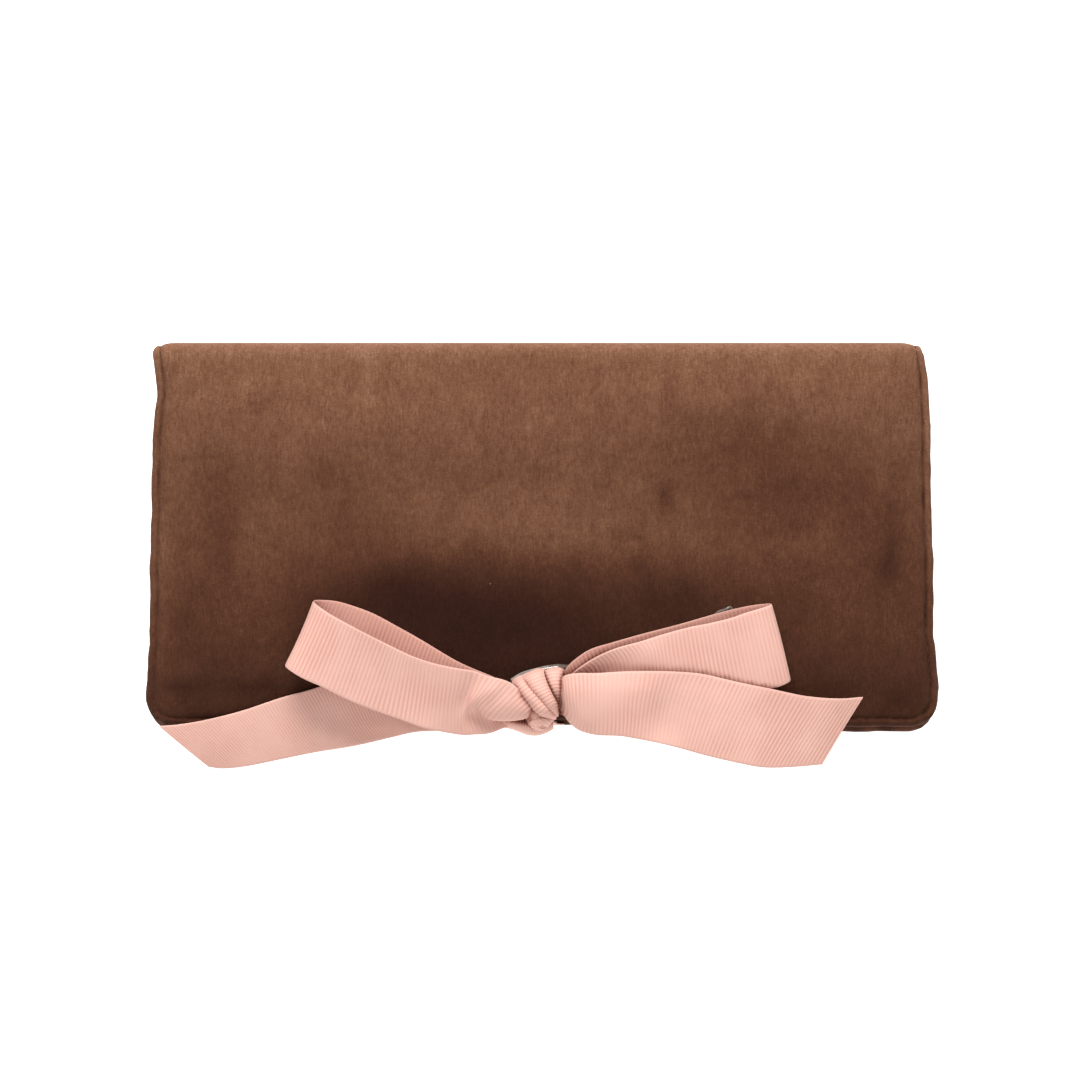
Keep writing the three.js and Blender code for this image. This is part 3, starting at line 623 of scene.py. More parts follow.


# Lightness of the flap's velvet: lightness at places in Y, then patches as X, Y, reach in X, reach in Y
# and lightness against what lies around them. All places are in mm. The rise towards the fold is painted
# light, and the dark patches over and beside the bow are painted shade.
PLAIN_NAP = 0.3
TONE_AND_LIGHT_ALONG_Y = [(-54, 0.114), (-47, 0.114), (-41, 0.122), (-34, 0.136), (-28, 0.145), (-22, 0.158),
               (-16, 0.176), (-10, 0.214), (-4, 0.259), (2, 0.276), (9, 0.286), (15, 0.296), (21, 0.314),
               (27, 0.341), (33, 0.359), (40, 0.376), (46, 0.395), (50, 0.435), (53, 0.455)]
TONE_AND_SHADE_PATCHES = [
    (110, -8, 2.8, 36, 1.52), (109, 30, 2.2, 16, 1.25), (101, -28, 6, 12, 1.1), (57, 27, 27, 11, 0.7),
    (70, 11, 22, 11, 0.7), (95, -3, 11, 15, 0.68), (-4, 3, 31, 9, 1.3), (-90, 6, 6, 19, 0.78),
    (-54, 0, 10, 9, 0.84), (-17, -25, 36, 13, 0.3), (-40, -16, 14, 8, 0.55), (-82, -20, 17, 14, 1.3),
    (90, -22, 14, 13, 1.25), (37, -19, 12, 7, 0.62), (-108, -22, 4, 24, 1.6), (0, 45, 24, 6, 0.85),
    (35, 30, 1.6, 22, 0.9), (-49, 42, 2.2, 16, 1.1), (-61, 15, 3, 5, 0.8), (-79.7, 33.6, 1.5, 3, 0.75),
    (96, -11, 3, 3.4, 0.7), (23, -1.5, 4, 3, 0.8), (34, 10, 2.4, 4, 0.8), (99, -47, 3.4, 3.4, 0.72),
    (-55, 8, 3, 6, 0.85), (78, 33, 12, 4, 1.1), (12, -2, 8, 4, 1.15), (34, 9, 1.8, 2.6, 0.72),
    (57, 9.6, 2, 1.6, 0.78), (69, 13, 3.4, 2.6, 0.82), (71, 0.6, 5, 2.2, 0.8),
    (26, -9.6, 3.2, 2.4, 0.74), (97.5, -6, 2, 5, 0.68), (-98, -3.4, 2.6, 2, 0.78),
    (-88, -7, 2, 9, 0.82), (-101, -43, 6, 1.6, 0.7), (-79, -43, 9, 2.4, 0.66), (-100, -38, 2, 3, 1.25),
    (105, -44, 2.4, 5, 0.85), (110, -45, 1.8, 9, 1.4), (104, -51.5, 8, 1.8, 1.35),
    (102.3, -42, 0.9, 4, 0.8), (-106, -33, 2.5, 9, 1.15), (-107, -50, 5, 2.2, 1.3),
    (-103.6, -46, 4, 2.4, 1.15),
]


# Painted light rising towards the fold and painted shade over and beside the bow, among lighter and darker
# patches.
def flap_tone_light_and_shade(x, y):
    table = np.array(TONE_AND_LIGHT_ALONG_Y)
    x, y = x / MM, y / MM
    velvet_lightness = np.interp(y, table[:, 0], table[:, 1])
    for middle_x, middle_y, reach_x, reach_y, change in TONE_AND_SHADE_PATCHES:
        wobble = 1 + 0.16 * ripple(x * MM, y * MM, 0.7 * reach_x * MM, 20)
        distance = (((x - middle_x) / reach_x) ** 2 + ((y - middle_y) / reach_y) ** 2) * wobble
        velvet_lightness = velvet_lightness * change ** np.exp(-np.clip(distance, 0, 30))
    return velvet_lightness / PLAIN_NAP - 1


def back_tone_and_light(x, y):
    plain = 0.25 * ripple(x, y, 60 * MM, 31) + 0.1 * ripple(x, y, 18 * MM, 32)
    # Near the fold the back takes the flap's painted light at the fold, so that the two meet.
    fold = TONE_AND_LIGHT_ALONG_Y[-1][1] / PLAIN_NAP - 1
    share = smooth_steps(FOLD_Y - 8 * MM, FOLD_Y - 1 * MM, y)
    return plain * (1 - share) + fold * share


def rounded_edge(share):
    """The height of a round edge: 0 at its rim, 1 where share reaches 1."""
    return np.sqrt(1 - (1 - np.clip(share, 0, 1)) ** 2)


class Wrap:
    """One velvet wrap: a grid over a panel and half of the spine, with its heights."""

    def __init__(self, section, form, nap, swell):
        self.section = section
        self.form = form
        self.nap = nap
        self.swell = swell
        self.columns = grid_lines(2 * HALF_LENGTH, both_ends=True) - HALF_LENGTH
        self.rows = grid_lines(section.length, both_ends=False)
        self.x, self.w = np.meshgrid(self.columns, self.rows, indexing="ij")
        self.inset = np.minimum(HALF_LENGTH - np.abs(self.x), self.w)

    def place(self, x, w, height):
        return wrap_place(self.section, x, w, height)

    def face_height(self, x, w):
        """The velvet's height over the panel's plain face: edge roll, groove, cushion and puckers."""
        y = self.section.at(w, 0)[..., 0]
        inset = np.minimum(HALF_LENGTH - np.abs(x), w)
        table, fold_table = np.array(EDGE_OUTER) * MM, np.array(EDGE_AT_FOLD) * MM
        over_fold = smooth_steps(self.section.flat - 9 * MM, self.section.flat + 2 * MM, w)
        near_edge = np.exp(-w / NEAR_EDGE_REACH) * (0.45 + 0.5 * ripple(x, w, 15 * MM, 15))
        soft = np.clip(np.maximum(np.maximum(over_fold, 0.7 * near_corner(x, w)), near_edge), 0, 1)
        edge = (np.interp(inset, table[:, 0], table[:, 1]) * (1 - soft)
                + np.interp(inset, fold_table[:, 0], fold_table[:, 1]) * soft)
        cushion = self.form(x, y, w)
        if self.swell:
            cushion = cushion + self.swell.at(x, w)
        return edge + cushion * smooth_steps(STITCH_INSET, CUSHION_INSET, inset) + pucker(x, w, inset)

    def velvet(self, name):
        """Closed tray of velvet: outer face, rolled edge, and the inside of the fabric."""
        face = self.face_height(self.x, self.w)
        outer = self.place(self.x, self.w, face)
        from_side = np.arange(len(self.columns))
        from_side = np.minimum(from_side, from_side[::-1])[:, None]
        from_near = np.arange(len(self.rows))[None, :]
        ring = np.minimum(from_side, from_near)
        turned = np.array(EDGE_INNER) * MM
        last = len(turned) - 1
        side_inset = turned[np.minimum(from_side, last), 0]
        near_inset = turned[np.minimum(from_near, last), 0]
        x_in = np.where(from_side <= last, np.sign(self.x) * (HALF_LENGTH - side_inset), self.x)
        w_in = np.where(from_near <= last, near_inset, self.w)
        height = np.where(ring <= last, turned[np.minimum(ring, last), 1], face - WALL)
        inner = self.place(x_in, w_in, height)
        return closed_grid(name, outer, inner, nap_change=self.velvet_lightness(outer))

    def velvet_lightness(self, outer):
        """The velvet's lightness against the plain one, with painted shade in the stitch groove and along
        the rim.
        """
        # Painted shade: a dark line along the stitch groove.
        creased = np.exp(-((self.inset - STITCH_INSET) / GROOVE_SHADE_REACH) ** 2)
        creased *= np.where(self.x > 0, 0.36, 0.2) * (1 + 0.9 * ripple(self.x, self.w, 10 * MM, 14))
        # Painted shade along the rim, in the gap between the flap and the back.
        dark = 0.5 + 0.3 * ripple(self.x, self.w, 6 * MM, 16)
        rim = np.clip(np.exp(-(self.inset / RIM_SHADE_REACH) ** 2) * dark, 0, 0.8)
        return (1 + self.nap(outer[..., 0], outer[..., 1])) * (1 - creased) * (1 - rim) - 1

    def wadding(self, name):
        """Closed slab of wadding under the velvet, with rounded edges."""
        edge = WADDING_ROUNDING * np.array([0, 0.3, 1])
        start = WADDING_INSET + 2 * WADDING_ROUNDING
        across, along = 2 * HALF_LENGTH, self.section.length
        columns = np.concatenate([
            WADDING_INSET + edge,
            np.linspace(start, across - WADDING_INSET - 2 * WADDING_ROUNDING, int(across / WADDING_STEP)),
            across - WADDING_INSET - edge[::-1]]) - HALF_LENGTH
        rows = np.concatenate([WADDING_INSET + edge, np.linspace(start, along, int(along / WADDING_STEP))])
        x, w = np.meshgrid(columns, rows, indexing="ij")
        inset = np.minimum(HALF_LENGTH - np.abs(x), w)
        swell = rounded_edge((inset - WADDING_INSET) / WADDING_ROUNDING)
        high = self.face_height(x, w) * WADDING_SHARE + WADDING_TOP
        middle = (high + WADDING_BOTTOM) / 2
        upper = self.place(x, w, middle + (high - middle) * swell)
        lower = self.place(x, w, middle + (WADDING_BOTTOM - middle) * swell)
        return closed_grid(name, upper, lower)

    def stitch_line(self):
        """The sewn line inside the panel's edge: down one side, along the near edge, up the other side."""
        reach = HALF_LENGTH - STITCH_INSET
        side = np.arange(self.section.length, STITCH_INSET, -EDGE_SEAM_STEP)
        near = np.arange(-reach, reach, EDGE_SEAM_STEP)
        x = np.concatenate([np.full_like(side, -reach), near, np.full_like(side, reach)])
        w = np.concatenate([side, np.full_like(near, STITCH_INSET), side[::-1]])
        return self.place(x, w, self.face_height(x, w) - EDGE_SEAM_DEPTH)


def closed_grid(name, upper, lower, **values):
    """Closes two grids of points, one over the other, into one mesh; values become its attributes."""
    columns, rows = upper.shape[:2]
    vertices = np.concatenate([upper.reshape(-1, 3), lower.reshape(-1, 3)])
    offset = columns * rows
    index = np.arange(offset).reshape(columns, rows)
    faces = grid_faces(index).tolist()
    faces += (grid_faces(index)[:, ::-1] + offset).tolist()
    rim = np.concatenate([index[:, 0], index[-1, 1:], index[-2::-1, -1], index[0, -2:0:-1]])
    for here, there in zip(rim, np.roll(rim, -1)):
        faces.append([int(there), int(here), int(here) + offset, int(there) + offset])
    piece = add_object(name, vertices, faces)
    for attribute, grid in values.items():
        set_attribute(piece, attribute, np.broadcast_to(grid, (2,) + upper.shape[:2]).reshape(-1))
    clean_up(piece)
    return piece


RIM_ANGLE = math.radians(62)


def clean_up(piece, distance=0.004 * MM):
    """Merges doubled points, turns every face outwards and keeps square rims crisp."""
    work = bmesh.new()
    work.from_mesh(piece.data)
    bmesh.ops.remove_doubles(work, verts=work.verts, dist=distance)
    bmesh.ops.dissolve_degenerate(work, dist=distance / 4, edges=work.edges)
    bmesh.ops.recalc_face_normals(work, faces=work.faces)
    for edge in work.edges:
        edge.smooth = edge.calc_face_angle(0) < RIM_ANGLE
    work.to_mesh(piece.data)
    work.free()
    shade(piece.data)


# Inside faces of the two panels

def node_points(node):
    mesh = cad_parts[node].data
    points = np.empty(len(mesh.vertices) * 3)
    mesh.vertices.foreach_get("co", points)
    return points.reshape(-1, 3)


def box_of(node):
    """A node's lowest and highest corner as arrays."""
    low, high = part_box(node)
    return np.array(low), np.array(high)


class Face:
    """One panel's inside face: x along the fold, s from the near edge inwards, h out of the face."""

    def __init__(self, body, origin, along, out):
        self.body = body
        self.origin, self.along, self.out = (np.array(v, dtype=float) for v in (origin, along, out))

    def place(self, x, s, h):
        x, s, h = np.broadcast_arrays(x, s, h)
        return (self.origin + x[..., None] * np.array([1.0, 0, 0]) + s[..., None] * self.along
                + h[..., None] * self.out)

    def span(self, node):
        points = node_points(node) - self.origin
        local = np.column_stack([points[:, 0], points @ self.along, points @ self.out])
        return local.min(axis=0), local.max(axis=0)


FLAP_ANGLE = math.atan(FLAP_SLOPE)
BACK_FACE = Face("back", (0, NEAR_Y, PANEL_THICKNESS), (0, 1, 0), (0, 0, 1))
FLAP_FACE = Face("flap", (0, NEAR_Y, NEAR_EDGE_Z - PANEL_THICKNESS),
                 (0, math.cos(FLAP_ANGLE), math.sin(FLAP_ANGLE)),
                 (0, math.sin(FLAP_ANGLE), -math.cos(FLAP_ANGLE)))


def even_lines(low, high, step):
    return np.linspace(low, high, max(2, round((high - low) / step) + 1))


def edged_lines(low, high, step, edge=0.5 * MM):
    """Even lines with two closer ones inside each end, for a rounded edge."""
    middle = even_lines(low + 2 * edge, high - 2 * edge, step)
    return np.concatenate([[low, low + edge / 3, low + edge], middle, [high - edge, high - edge / 3, high]])


def face_cloth(name, face, span, height, thickness, step, edge=0.5 * MM):
    """Closed cloth over a node's span on a face: its middle lies at height(low, high, x, s)."""
    low, high = span
    x, s = np.meshgrid(edged_lines(low[0], high[0], step, edge), edged_lines(low[1], high[1], step, edge),
                       indexing="ij")
    inset = np.minimum(np.minimum(x - low[0], high[0] - x), np.minimum(s - low[1], high[1] - s))
    half = thickness / 2 * rounded_edge(inset / edge)
    middle = height(low, high, x, s)
    return closed_grid(name, face.place(x, s, middle + half), face.place(x, s, middle - half))


def ring_numbers(rings):
    """Numbers of the points in rings, and of each point's neighbour round its ring."""
    count, around = rings.shape[:2]
    index = np.arange(count * around).reshape(count, around)
    return index, np.roll(index, -1, axis=1)


def loop_grid(name, rings):
    """Joins rings of points, each closed; the first and last ring are closed by a middle point."""
    index, ahead = ring_numbers(rings)
    ends = np.stack([rings[0].mean(axis=0), rings[-1].mean(axis=0)])
    vertices = np.concatenate([rings.reshape(-1, 3), ends])
    faces = np.stack([index[:-1], ahead[:-1], ahead[1:], index[1:]], axis=-1).reshape(-1, 4).tolist()
    for ring, middle in ((0, index.size), (-1, index.size + 1)):
        faces += [[int(here), int(there), middle] for here, there in zip(index[ring], ahead[ring])]
    piece = add_object(name, vertices, faces)
    clean_up(piece, 0.001 * MM)
    return piece


def ring_grid(name, rings):
    """Joins rings of points into a closed tube wall: the last ring meets the first."""
    index, ahead = ring_numbers(rings)
    up, up_ahead = np.roll(index, -1, axis=0), np.roll(ahead, -1, axis=0)
    faces = np.stack([index, ahead, up_ahead, up], axis=-1).reshape(-1, 4).tolist()
    piece = add_object(name, rings.reshape(-1, 3), faces)
    clean_up(piece, 0.001 * MM)
    return piece


PROFILE_ROUNDING = 0.15 * MM
PROFILE_STEPS = 3
TURNED_POINTS = 48
METAL_ROUNDING = 0.3 * MM


def smoothed_profile(profile):
    """Rounds the corners of a line of (radius, height) points."""
    points = [np.array(point, dtype=float) for point in profile]
    result = [points[0]]
    for before, here, after in zip(points, points[1:], points[2:]):
        back, ahead = before - here, after - here
        cut = min(PROFILE_ROUNDING, np.linalg.norm(back) / 2.1, np.linalg.norm(ahead) / 2.1)
        start = here + back / np.linalg.norm(back) * cut
        end = here + ahead / np.linalg.norm(ahead) * cut
        for step in range(PROFILE_STEPS + 1):
            t = step / PROFILE_STEPS
            result.append(start * (1 - t) ** 2 + here * 2 * t * (1 - t) + end * t * t)
    result.append(points[-1])
    return np.array(result)


def turned_rings(centre, profile):
    """Rings for a part turned about an upright line through centre, from (radius, height) points."""
    line = smoothed_profile(profile)
    angle = np.arange(TURNED_POINTS) / TURNED_POINTS * 2 * math.pi
    radius, height = line[:, 0][:, None], line[:, 1][:, None]
    return np.stack([centre[0] + radius * np.cos(angle), centre[1] + radius * np.sin(angle),
                     centre[2] + height + 0 * angle], axis=-1)


def softened_copy(name, node):
    """A copy of a hard CAD piece with its sharp edges rounded."""
    piece = link_object(name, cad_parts[node].data.copy())
    piece.data.materials.clear()
    clean_up(piece, 0.002 * MM)
    shade(piece.data, False)
    rounding = piece.modifiers.new("rounding", "BEVEL")
    rounding.width = METAL_ROUNDING
    rounding.segments = 3
    rounding.limit_method = "ANGLE"
    rounding.angle_limit = math.radians(35)
    rounding.use_clamp_overlap = True
    baked = bake(piece, name)
    shade(baked.data)
    baked.data.set_sharp_from_angle(angle=math.radians(40))
    return baked


def bake(piece, name):
    """Replaces a piece that has modifiers by its finished mesh."""
    bpy.context.view_layer.update()
    evaluated = piece.evaluated_get(bpy.context.evaluated_depsgraph_get())
    mesh = bpy.data.meshes.new_from_object(evaluated)
    source = piece.data
    bpy.data.objects.remove(piece)
    bpy.data.meshes.remove(source)
    mesh.name = name
    return link_object(name, mesh)


# Geometry Nodes: sewing stitches along a line and zip teeth in rows

class NodeTree:
    """A Geometry Nodes tree with named inputs, and short calls for its nodes and links."""

    def __init__(self, name, inputs):
        self.tree = bpy.data.node_groups.new(name, "GeometryNodeTree")
        face = self.tree.interface
        face.new_socket("Geometry", in_out="INPUT", socket_type="NodeSocketGeometry")
        for label, kind in inputs:
            face.new_socket(label, in_out="INPUT", socket_type=kind)
        face.new_socket("Geometry", in_out="OUTPUT", socket_type="NodeSocketGeometry")
        self.given = self.tree.nodes.new("NodeGroupInput").outputs
        self.result = self.tree.nodes.new("NodeGroupOutput").inputs["Geometry"]

    def node(self, kind, links=None, **settings):
        node = self.tree.nodes.new(kind)
        for label, value in settings.items():
            setattr(node, label, value)
        for socket, value in (links or {}).items():
            if isinstance(value, bpy.types.NodeSocket):
                self.tree.links.new(value, node.inputs[socket])
            else:
                node.inputs[socket].default_value = value
        return node

    def close(self, geometry, material):
        real = self.node("GeometryNodeRealizeInstances", {"Geometry": geometry})
        dressed = self.node("GeometryNodeSetMaterial", {"Geometry": real.outputs[0], "Material": material})
        self.tree.links.new(dressed.outputs[0], self.result)

    def run(self, name, source, values):
        modifier = source.modifiers.new("repeat", "NODES")
        modifier.node_group = self.tree
        for item in self.tree.interface.items_tree:
            if item.in_out == "INPUT" and item.name in values:
                modifier[item.identifier] = values[item.name]
        piece = bake(source, name)
        shade(piece.data)
        return piece


def stitch_tree():
    """Rounded thread stitches along a line: spaced evenly, each turned along the line."""
    tree = NodeTree("thread_stitches", [("Spacing", "NodeSocketFloat"), ("Stitch Size", "NodeSocketVector"),
                                        ("Thread", "NodeSocketMaterial")])
    curve = tree.node("GeometryNodeMeshToCurve", {"Mesh": tree.given["Geometry"]})
    spaced = tree.node("GeometryNodeCurveToPoints", mode="LENGTH",
                       links={"Curve": curve.outputs[0], "Length": tree.given["Spacing"]})
    bead = tree.node("GeometryNodeMeshUVSphere", {"Segments": 8, "Rings": 6, "Radius": 0.5})
    facing = tree.node("FunctionNodeAlignRotationToVector", {"Vector": spaced.outputs["Tangent"]},
                       axis="X")
    placed = tree.node("GeometryNodeInstanceOnPoints", {
        "Points": spaced.outputs["Points"], "Instance": bead.outputs["Mesh"],
        "Rotation": facing.outputs["Rotation"], "Scale": tree.given["Stitch Size"]})
    tree.close(placed.outputs["Instances"], tree.given["Thread"])
    return tree


# Sizes of the stitches: their spacing, then their length, width and height, all in mm.
EDGE_STITCH = (2.8, (2.2, 0.42, 0.42))
POCKET_STITCH = (2.4, (1.9, 0.32, 0.32))
TAB_STITCH = (1.9, (1.5, 0.3, 0.3))


class Sewing:
    """Sews seams of rounded thread stitches, all with one Geometry Nodes tree and one thread."""

    def __init__(self, thread):
        self.tree = stitch_tree()
        self.thread = thread

    def seam(self, name, points, stitch, slot):
        """Stitches along a line of points."""
        spacing, size = stitch
        mesh = bpy.data.meshes.new(name + "_line")
        edges = [(first, first + 1) for first in range(len(points) - 1)]
        mesh.from_pydata([tuple(point) for point in points], edges, [])
        line = link_object(name + "_line", mesh)
        size = tuple(length * MM for length in size)
        values = {"Spacing": spacing * MM, "Stitch Size": size, "Thread": self.thread}
        return dress(self.tree.run(name, line, values), self.thread)


def tooth_tree():
    """Copies of one zip tooth at the line's points."""
    tree = NodeTree("zip_tooth_row", [("Tooth", "NodeSocketObject"), ("Tooth Metal", "NodeSocketMaterial")])
    shape = tree.node("GeometryNodeObjectInfo", {"Object": tree.given["Tooth"]})
    placed = tree.node("GeometryNodeInstanceOnPoints", {
        "Points": tree.given["Geometry"], "Instance": shape.outputs["Geometry"]})
    tree.close(placed.outputs["Instances"], tree.given["Tooth Metal"])
    return tree


# Ribbon: a grosgrain band through rows of points, its ribs shaped across it

RIBBON_THICKNESS = 0.45 * MM
RIB_PITCH = 1.16 * MM
RIB_HEIGHT = 0.09 * MM
RIB_STEPS = 8
# The plain edge of a band, the part that thins to a round rim, and the rim's thickness, as shares.
SELVEDGE = 0.05
RIM_WIDTH = 0.02
RIM_THICKNESS = 0.35
POINTS_ACROSS = 5
STEPS_PER_ROW = 24
# Lines of points along a band, as shares of its width: closer together at its two edges.
LINES_ACROSS = np.concatenate([[0, 0.012], np.linspace(0.04, 0.96, 16), [0.988, 1]])


def spline(points, parameters):
    """A smooth curve through points that lie one apart in its parameter, at many parameters."""
    points = np.asarray(points, dtype=float)
    padded = np.concatenate([[2 * points[0] - points[1]], points, [2 * points[-1] - points[-2]]])
    segment = np.clip(np.floor(parameters).astype(int), 0, len(points) - 2)
    t = (parameters - segment).reshape((-1,) + (1,) * (points.ndim - 1))
    a, b, c, d = (padded[segment + ahead] for ahead in range(4))
    return 0.5 * (2 * b + (c - a) * t + (2 * a - 5 * b + 4 * c - d) * t ** 2
                  + (3 * b - a - 3 * c + d) * t ** 3)


def full_row(row):
    """A row of points across a band; one given by its two edges is filled in straight."""
    row = np.asarray(row, dtype=float)
    if len(row) == POINTS_ACROSS:
        return row
    share = np.linspace(0, 1, POINTS_ACROSS)[:, None]
    return row[0] * (1 - share) + row[-1] * share


def photo_rows(rows):
    """World points for rows of (pixel x, pixel y, mm above the flap's slope)."""
    return np.array([[from_photo(x, y, h * MM) for x, y, h in full_row(row)] for row in rows])


def ribbon_band(name, rows, camber=0.0, thickness=RIBBON_THICKNESS, pitch=RIB_PITCH, inner=(0, 0)):
    """A band through rows of world points, with ribs along the rows unless pitch is zero; inner tells
    for each of its two sides whether it is the inside of a loop, which takes painted shade."""
    steps = np.linspace(0, len(rows) - 1, STEPS_PER_ROW * len(rows))
    stretch = np.linalg.norm(np.diff(spline(rows, steps), axis=0), axis=2).mean(axis=1)
    lengths = np.concatenate([[0], np.cumsum(stretch)])
    ribs = max(2, round(lengths[-1] / (pitch or RIB_PITCH)))
    wanted = np.linspace(0, lengths[-1], ribs * RIB_STEPS + 1)
    lines = spline(rows, np.interp(wanted, lengths, steps))
    v = LINES_ACROSS
    surface = spline(np.swapaxes(lines, 0, 1), v * (POINTS_ACROSS - 1)).swapaxes(0, 1)
    ahead = np.gradient(surface, axis=0)
    sideways = np.gradient(surface, axis=1)
    normal = np.cross(ahead, sideways)
    normal /= np.maximum(np.linalg.norm(normal, axis=-1, keepdims=True), 1e-12)
    surface = surface + normal * (camber * 4 * v * (1 - v))[None, :, None]
    wave = (0.5 + 0.5 * np.cos(2 * math.pi * np.arange(len(wanted)) / RIB_STEPS)) ** 0.5
    wave = np.repeat(wave[:, None], len(v), axis=1)
    if not pitch:
        wave = wave * 0 + 0.5
    spacing = np.linalg.norm(ahead, axis=-1) * RIB_STEPS / RIB_PITCH
    selvedge = smooth_steps(0, SELVEDGE, v) * smooth_steps(0, SELVEDGE, 1 - v)
    relief = RIB_HEIGHT * np.clip(spacing, 0.2, 1)
    round_rim = rounded_edge(np.minimum(v, 1 - v) / RIM_WIDTH)
    body = (thickness / 2) * (RIM_THICKNESS + (1 - RIM_THICKNESS) * round_rim)
    half = body[None, :] + relief * (wave - 0.5) * selvedge[None, :]
    # The rib valleys' places, for painted shade in the ribbon's colour.
    valley = (1 - wave) * selvedge[None, :] * (pitch > 0)
    return closed_grid(name, surface + normal * half[..., None], surface - normal * half[..., None],
                       rib_valley=valley, inner_side=np.array(inner, dtype=float)[:, None, None])


def set_attribute(piece, name, values):
    if len(values) != len(piece.data.vertices):
        raise ValueError(f"{piece.name}: {len(values)} values for {len(piece.data.vertices)} vertices")
    attribute = piece.data.attributes.new(name, "FLOAT", "POINT")
    attribute.data.foreach_set("value", np.asarray(values, dtype=np.float32))


# Rows of each band, from one end to the other: photo pixels, and mm over the flap's slope. A row has
# its two edges, or five points across where the ribbon is folded.
LEFT_LOOP_ROWS = [
    [(516, 690, 2.6), (512, 712, 2.6)], [(496, 678, 2.8), (482, 722, 2.6)],
    [(459, 662, 3.2), (442, 722, 2.8)], [(420, 639, 3.6), (398, 702, 3.2)],
    [(395, 625, 3.9), (372, 690, 3.4)], [(370, 612, 4.2), (346, 677, 3.8)],
    [(340, 602, 4.8), (312, 666, 4.4)], [(322, 600, 6.0), (293, 663, 5.4)],
    [(314, 601, 8.6), (286, 665, 8.0)], [(317, 605, 12.0), (288, 669, 11.0)],
    [(330, 614, 14.2), (302, 678, 12.8)], [(347, 623.5, 14.8), (322, 687, 13.0)],
    [(367, 634, 14.6), (344, 698, 12.4)], [(390, 645.5, 14.0), (368, 708, 11.6)],
    [(411, 655.5, 13.0), (399, 719, 10.2)], [(433, 663, 12.0), (424, 728, 9.0)],
    [(456, 668, 11.0), (454, 684, 10.2), (451, 702, 8.8), (450, 718, 7.6), (449, 733, 6.4)],
    [(474, 671, 10.4), (470, 686, 9.4), (464, 703, 7.6), (462, 719, 6.6), (463, 735, 5.0)],
    [(488, 676, 10.2), (479, 691, 10.6), (470, 704, 9.2), (468, 717, 5.8), (474, 734.5, 4.2)],
    [(501, 679, 9.8), (489, 693, 10.8), (476, 707, 9.2), (478, 716, 5.0), (485, 734, 3.6)],
    [(511, 683, 9.2), (498, 698, 10.0), (482, 714, 8.6), (487, 718, 4.8), (494, 732, 3.4)],
    [(520, 690, 8.8), (507, 704, 9.8), (491, 719.5, 7.8), (494, 719, 4.2), (501, 729, 3.0)],
    [(529, 697.5, 8.4), (517, 709, 9.2), (504, 721.5, 7.2), (503, 718, 4.0), (507, 727, 2.8)],
    [(536, 704, 8.0), (528, 712, 8.4), (518, 721, 6.6), (513, 716, 3.8), (513, 723, 2.8)],
    [(541, 709, 7.2), (537, 713.5, 7.2), (531, 718, 6.0), (524, 714, 3.8), (520, 718, 2.8)],
    [(543, 711, 5.4), (541, 714, 5.2), (538, 717, 4.6), (534, 715, 3.6), (530, 716, 2.8)],
]
RIGHT_LOOP_ROWS = [
    [(552, 694, 2.6), (556, 712, 2.6)], [(560, 680, 4.4), (566, 716, 3.2)],
    [(565, 670, 6.6), (576, 712, 4.4)], [(573, 661, 7.8), (590, 700, 5.0)],
    [(590, 649.5, 7.6), (610, 696, 4.6)], [(612, 642.5, 6.4), (630, 700, 4.2)],
    [(640, 634.5, 5.8), (655, 698, 4.0)], [(680, 624, 5.2), (693, 692, 4.0)],
    [(720, 612.5, 5.0), (736, 684, 4.0)], [(748, 606, 5.2), (765, 680, 4.4)],
    [(768, 603.5, 6.8), (787, 680, 5.6)], [(770, 605, 9.0), (789, 682, 7.6)],
    [(760, 608.5, 10.8), (778, 687, 9.2)], [(745, 613, 11.4), (761, 690, 9.8)],
    [(729, 618.5, 11.6), (744, 692, 9.8)], [(708, 623.5, 11.4), (721, 695, 9.6)],
    [(688, 627.5, 11.2), (700, 698, 9.4)], [(664, 634, 10.8), (674, 702, 9.0)],
    [(640, 641.5, 10.4), (648, 654, 10.2), (650, 671, 9.2), (651, 688, 8.4), (652, 706, 7.6)],
    [(618, 647.5, 9.8), (626, 658, 9.0), (629, 672, 7.8), (630, 688, 7.0), (630, 706, 6.4)],
    [(601, 654.5, 9.4), (608, 662, 7.8), (611, 673, 6.4), (612, 688, 5.8), (612, 704, 5.4)],
    [(586, 663, 9.0), (592, 668, 7.2), (595, 676, 5.8), (596, 688, 5.2), (596, 702, 4.8)],
    [(574, 672, 8.4), (578, 676, 6.8), (580, 682, 5.6), (581, 690, 5.0), (581, 700, 4.6)],
    [(564, 681, 7.0), (566, 684, 6.0), (568, 688, 5.2), (569, 692, 4.8), (569, 698, 4.4)],
]
LEFT_TAIL_ROWS = [
    [(520, 698, 2.4), (516, 720, 1.6)], [(476, 688, 2.6), (468, 730, 1.2)],
    [(432, 682, 2.8), (440, 731, 1.0)],
    [(392, 679, 3.0), (395, 692, 1.8), (400, 706, 0.8), (407, 720, 0.2), (416, 732, 0.4)],
    [(356, 681, 3.4), (362, 694, 2.4), (369, 709, 1.0), (377, 724, -0.6), (389, 738, 0.2)],
    [(330, 684, 3.6), (336, 696, 2.8), (343, 711, 1.2), (352, 727, -0.2), (364, 744, -0.2)],
    [(306, 691, 3.4), (313, 702, 2.2), (321, 716, 1.0), (331, 732, 0.2), (343, 748, -0.4)],
    [(280, 698, 2.8), (287, 710, 1.8), (296, 724, 0.8), (306, 739, 0.0), (317, 752, -0.7)],
    [(241, 711, 2.0), (282, 759, -0.7)], [(205, 720, 1.2), (248, 766, -1.2)],
    [(178, 724.5, 0.8), (224, 768.5, -1.6)], [(159, 726, 0.6), (209, 767, -1.8)],
]
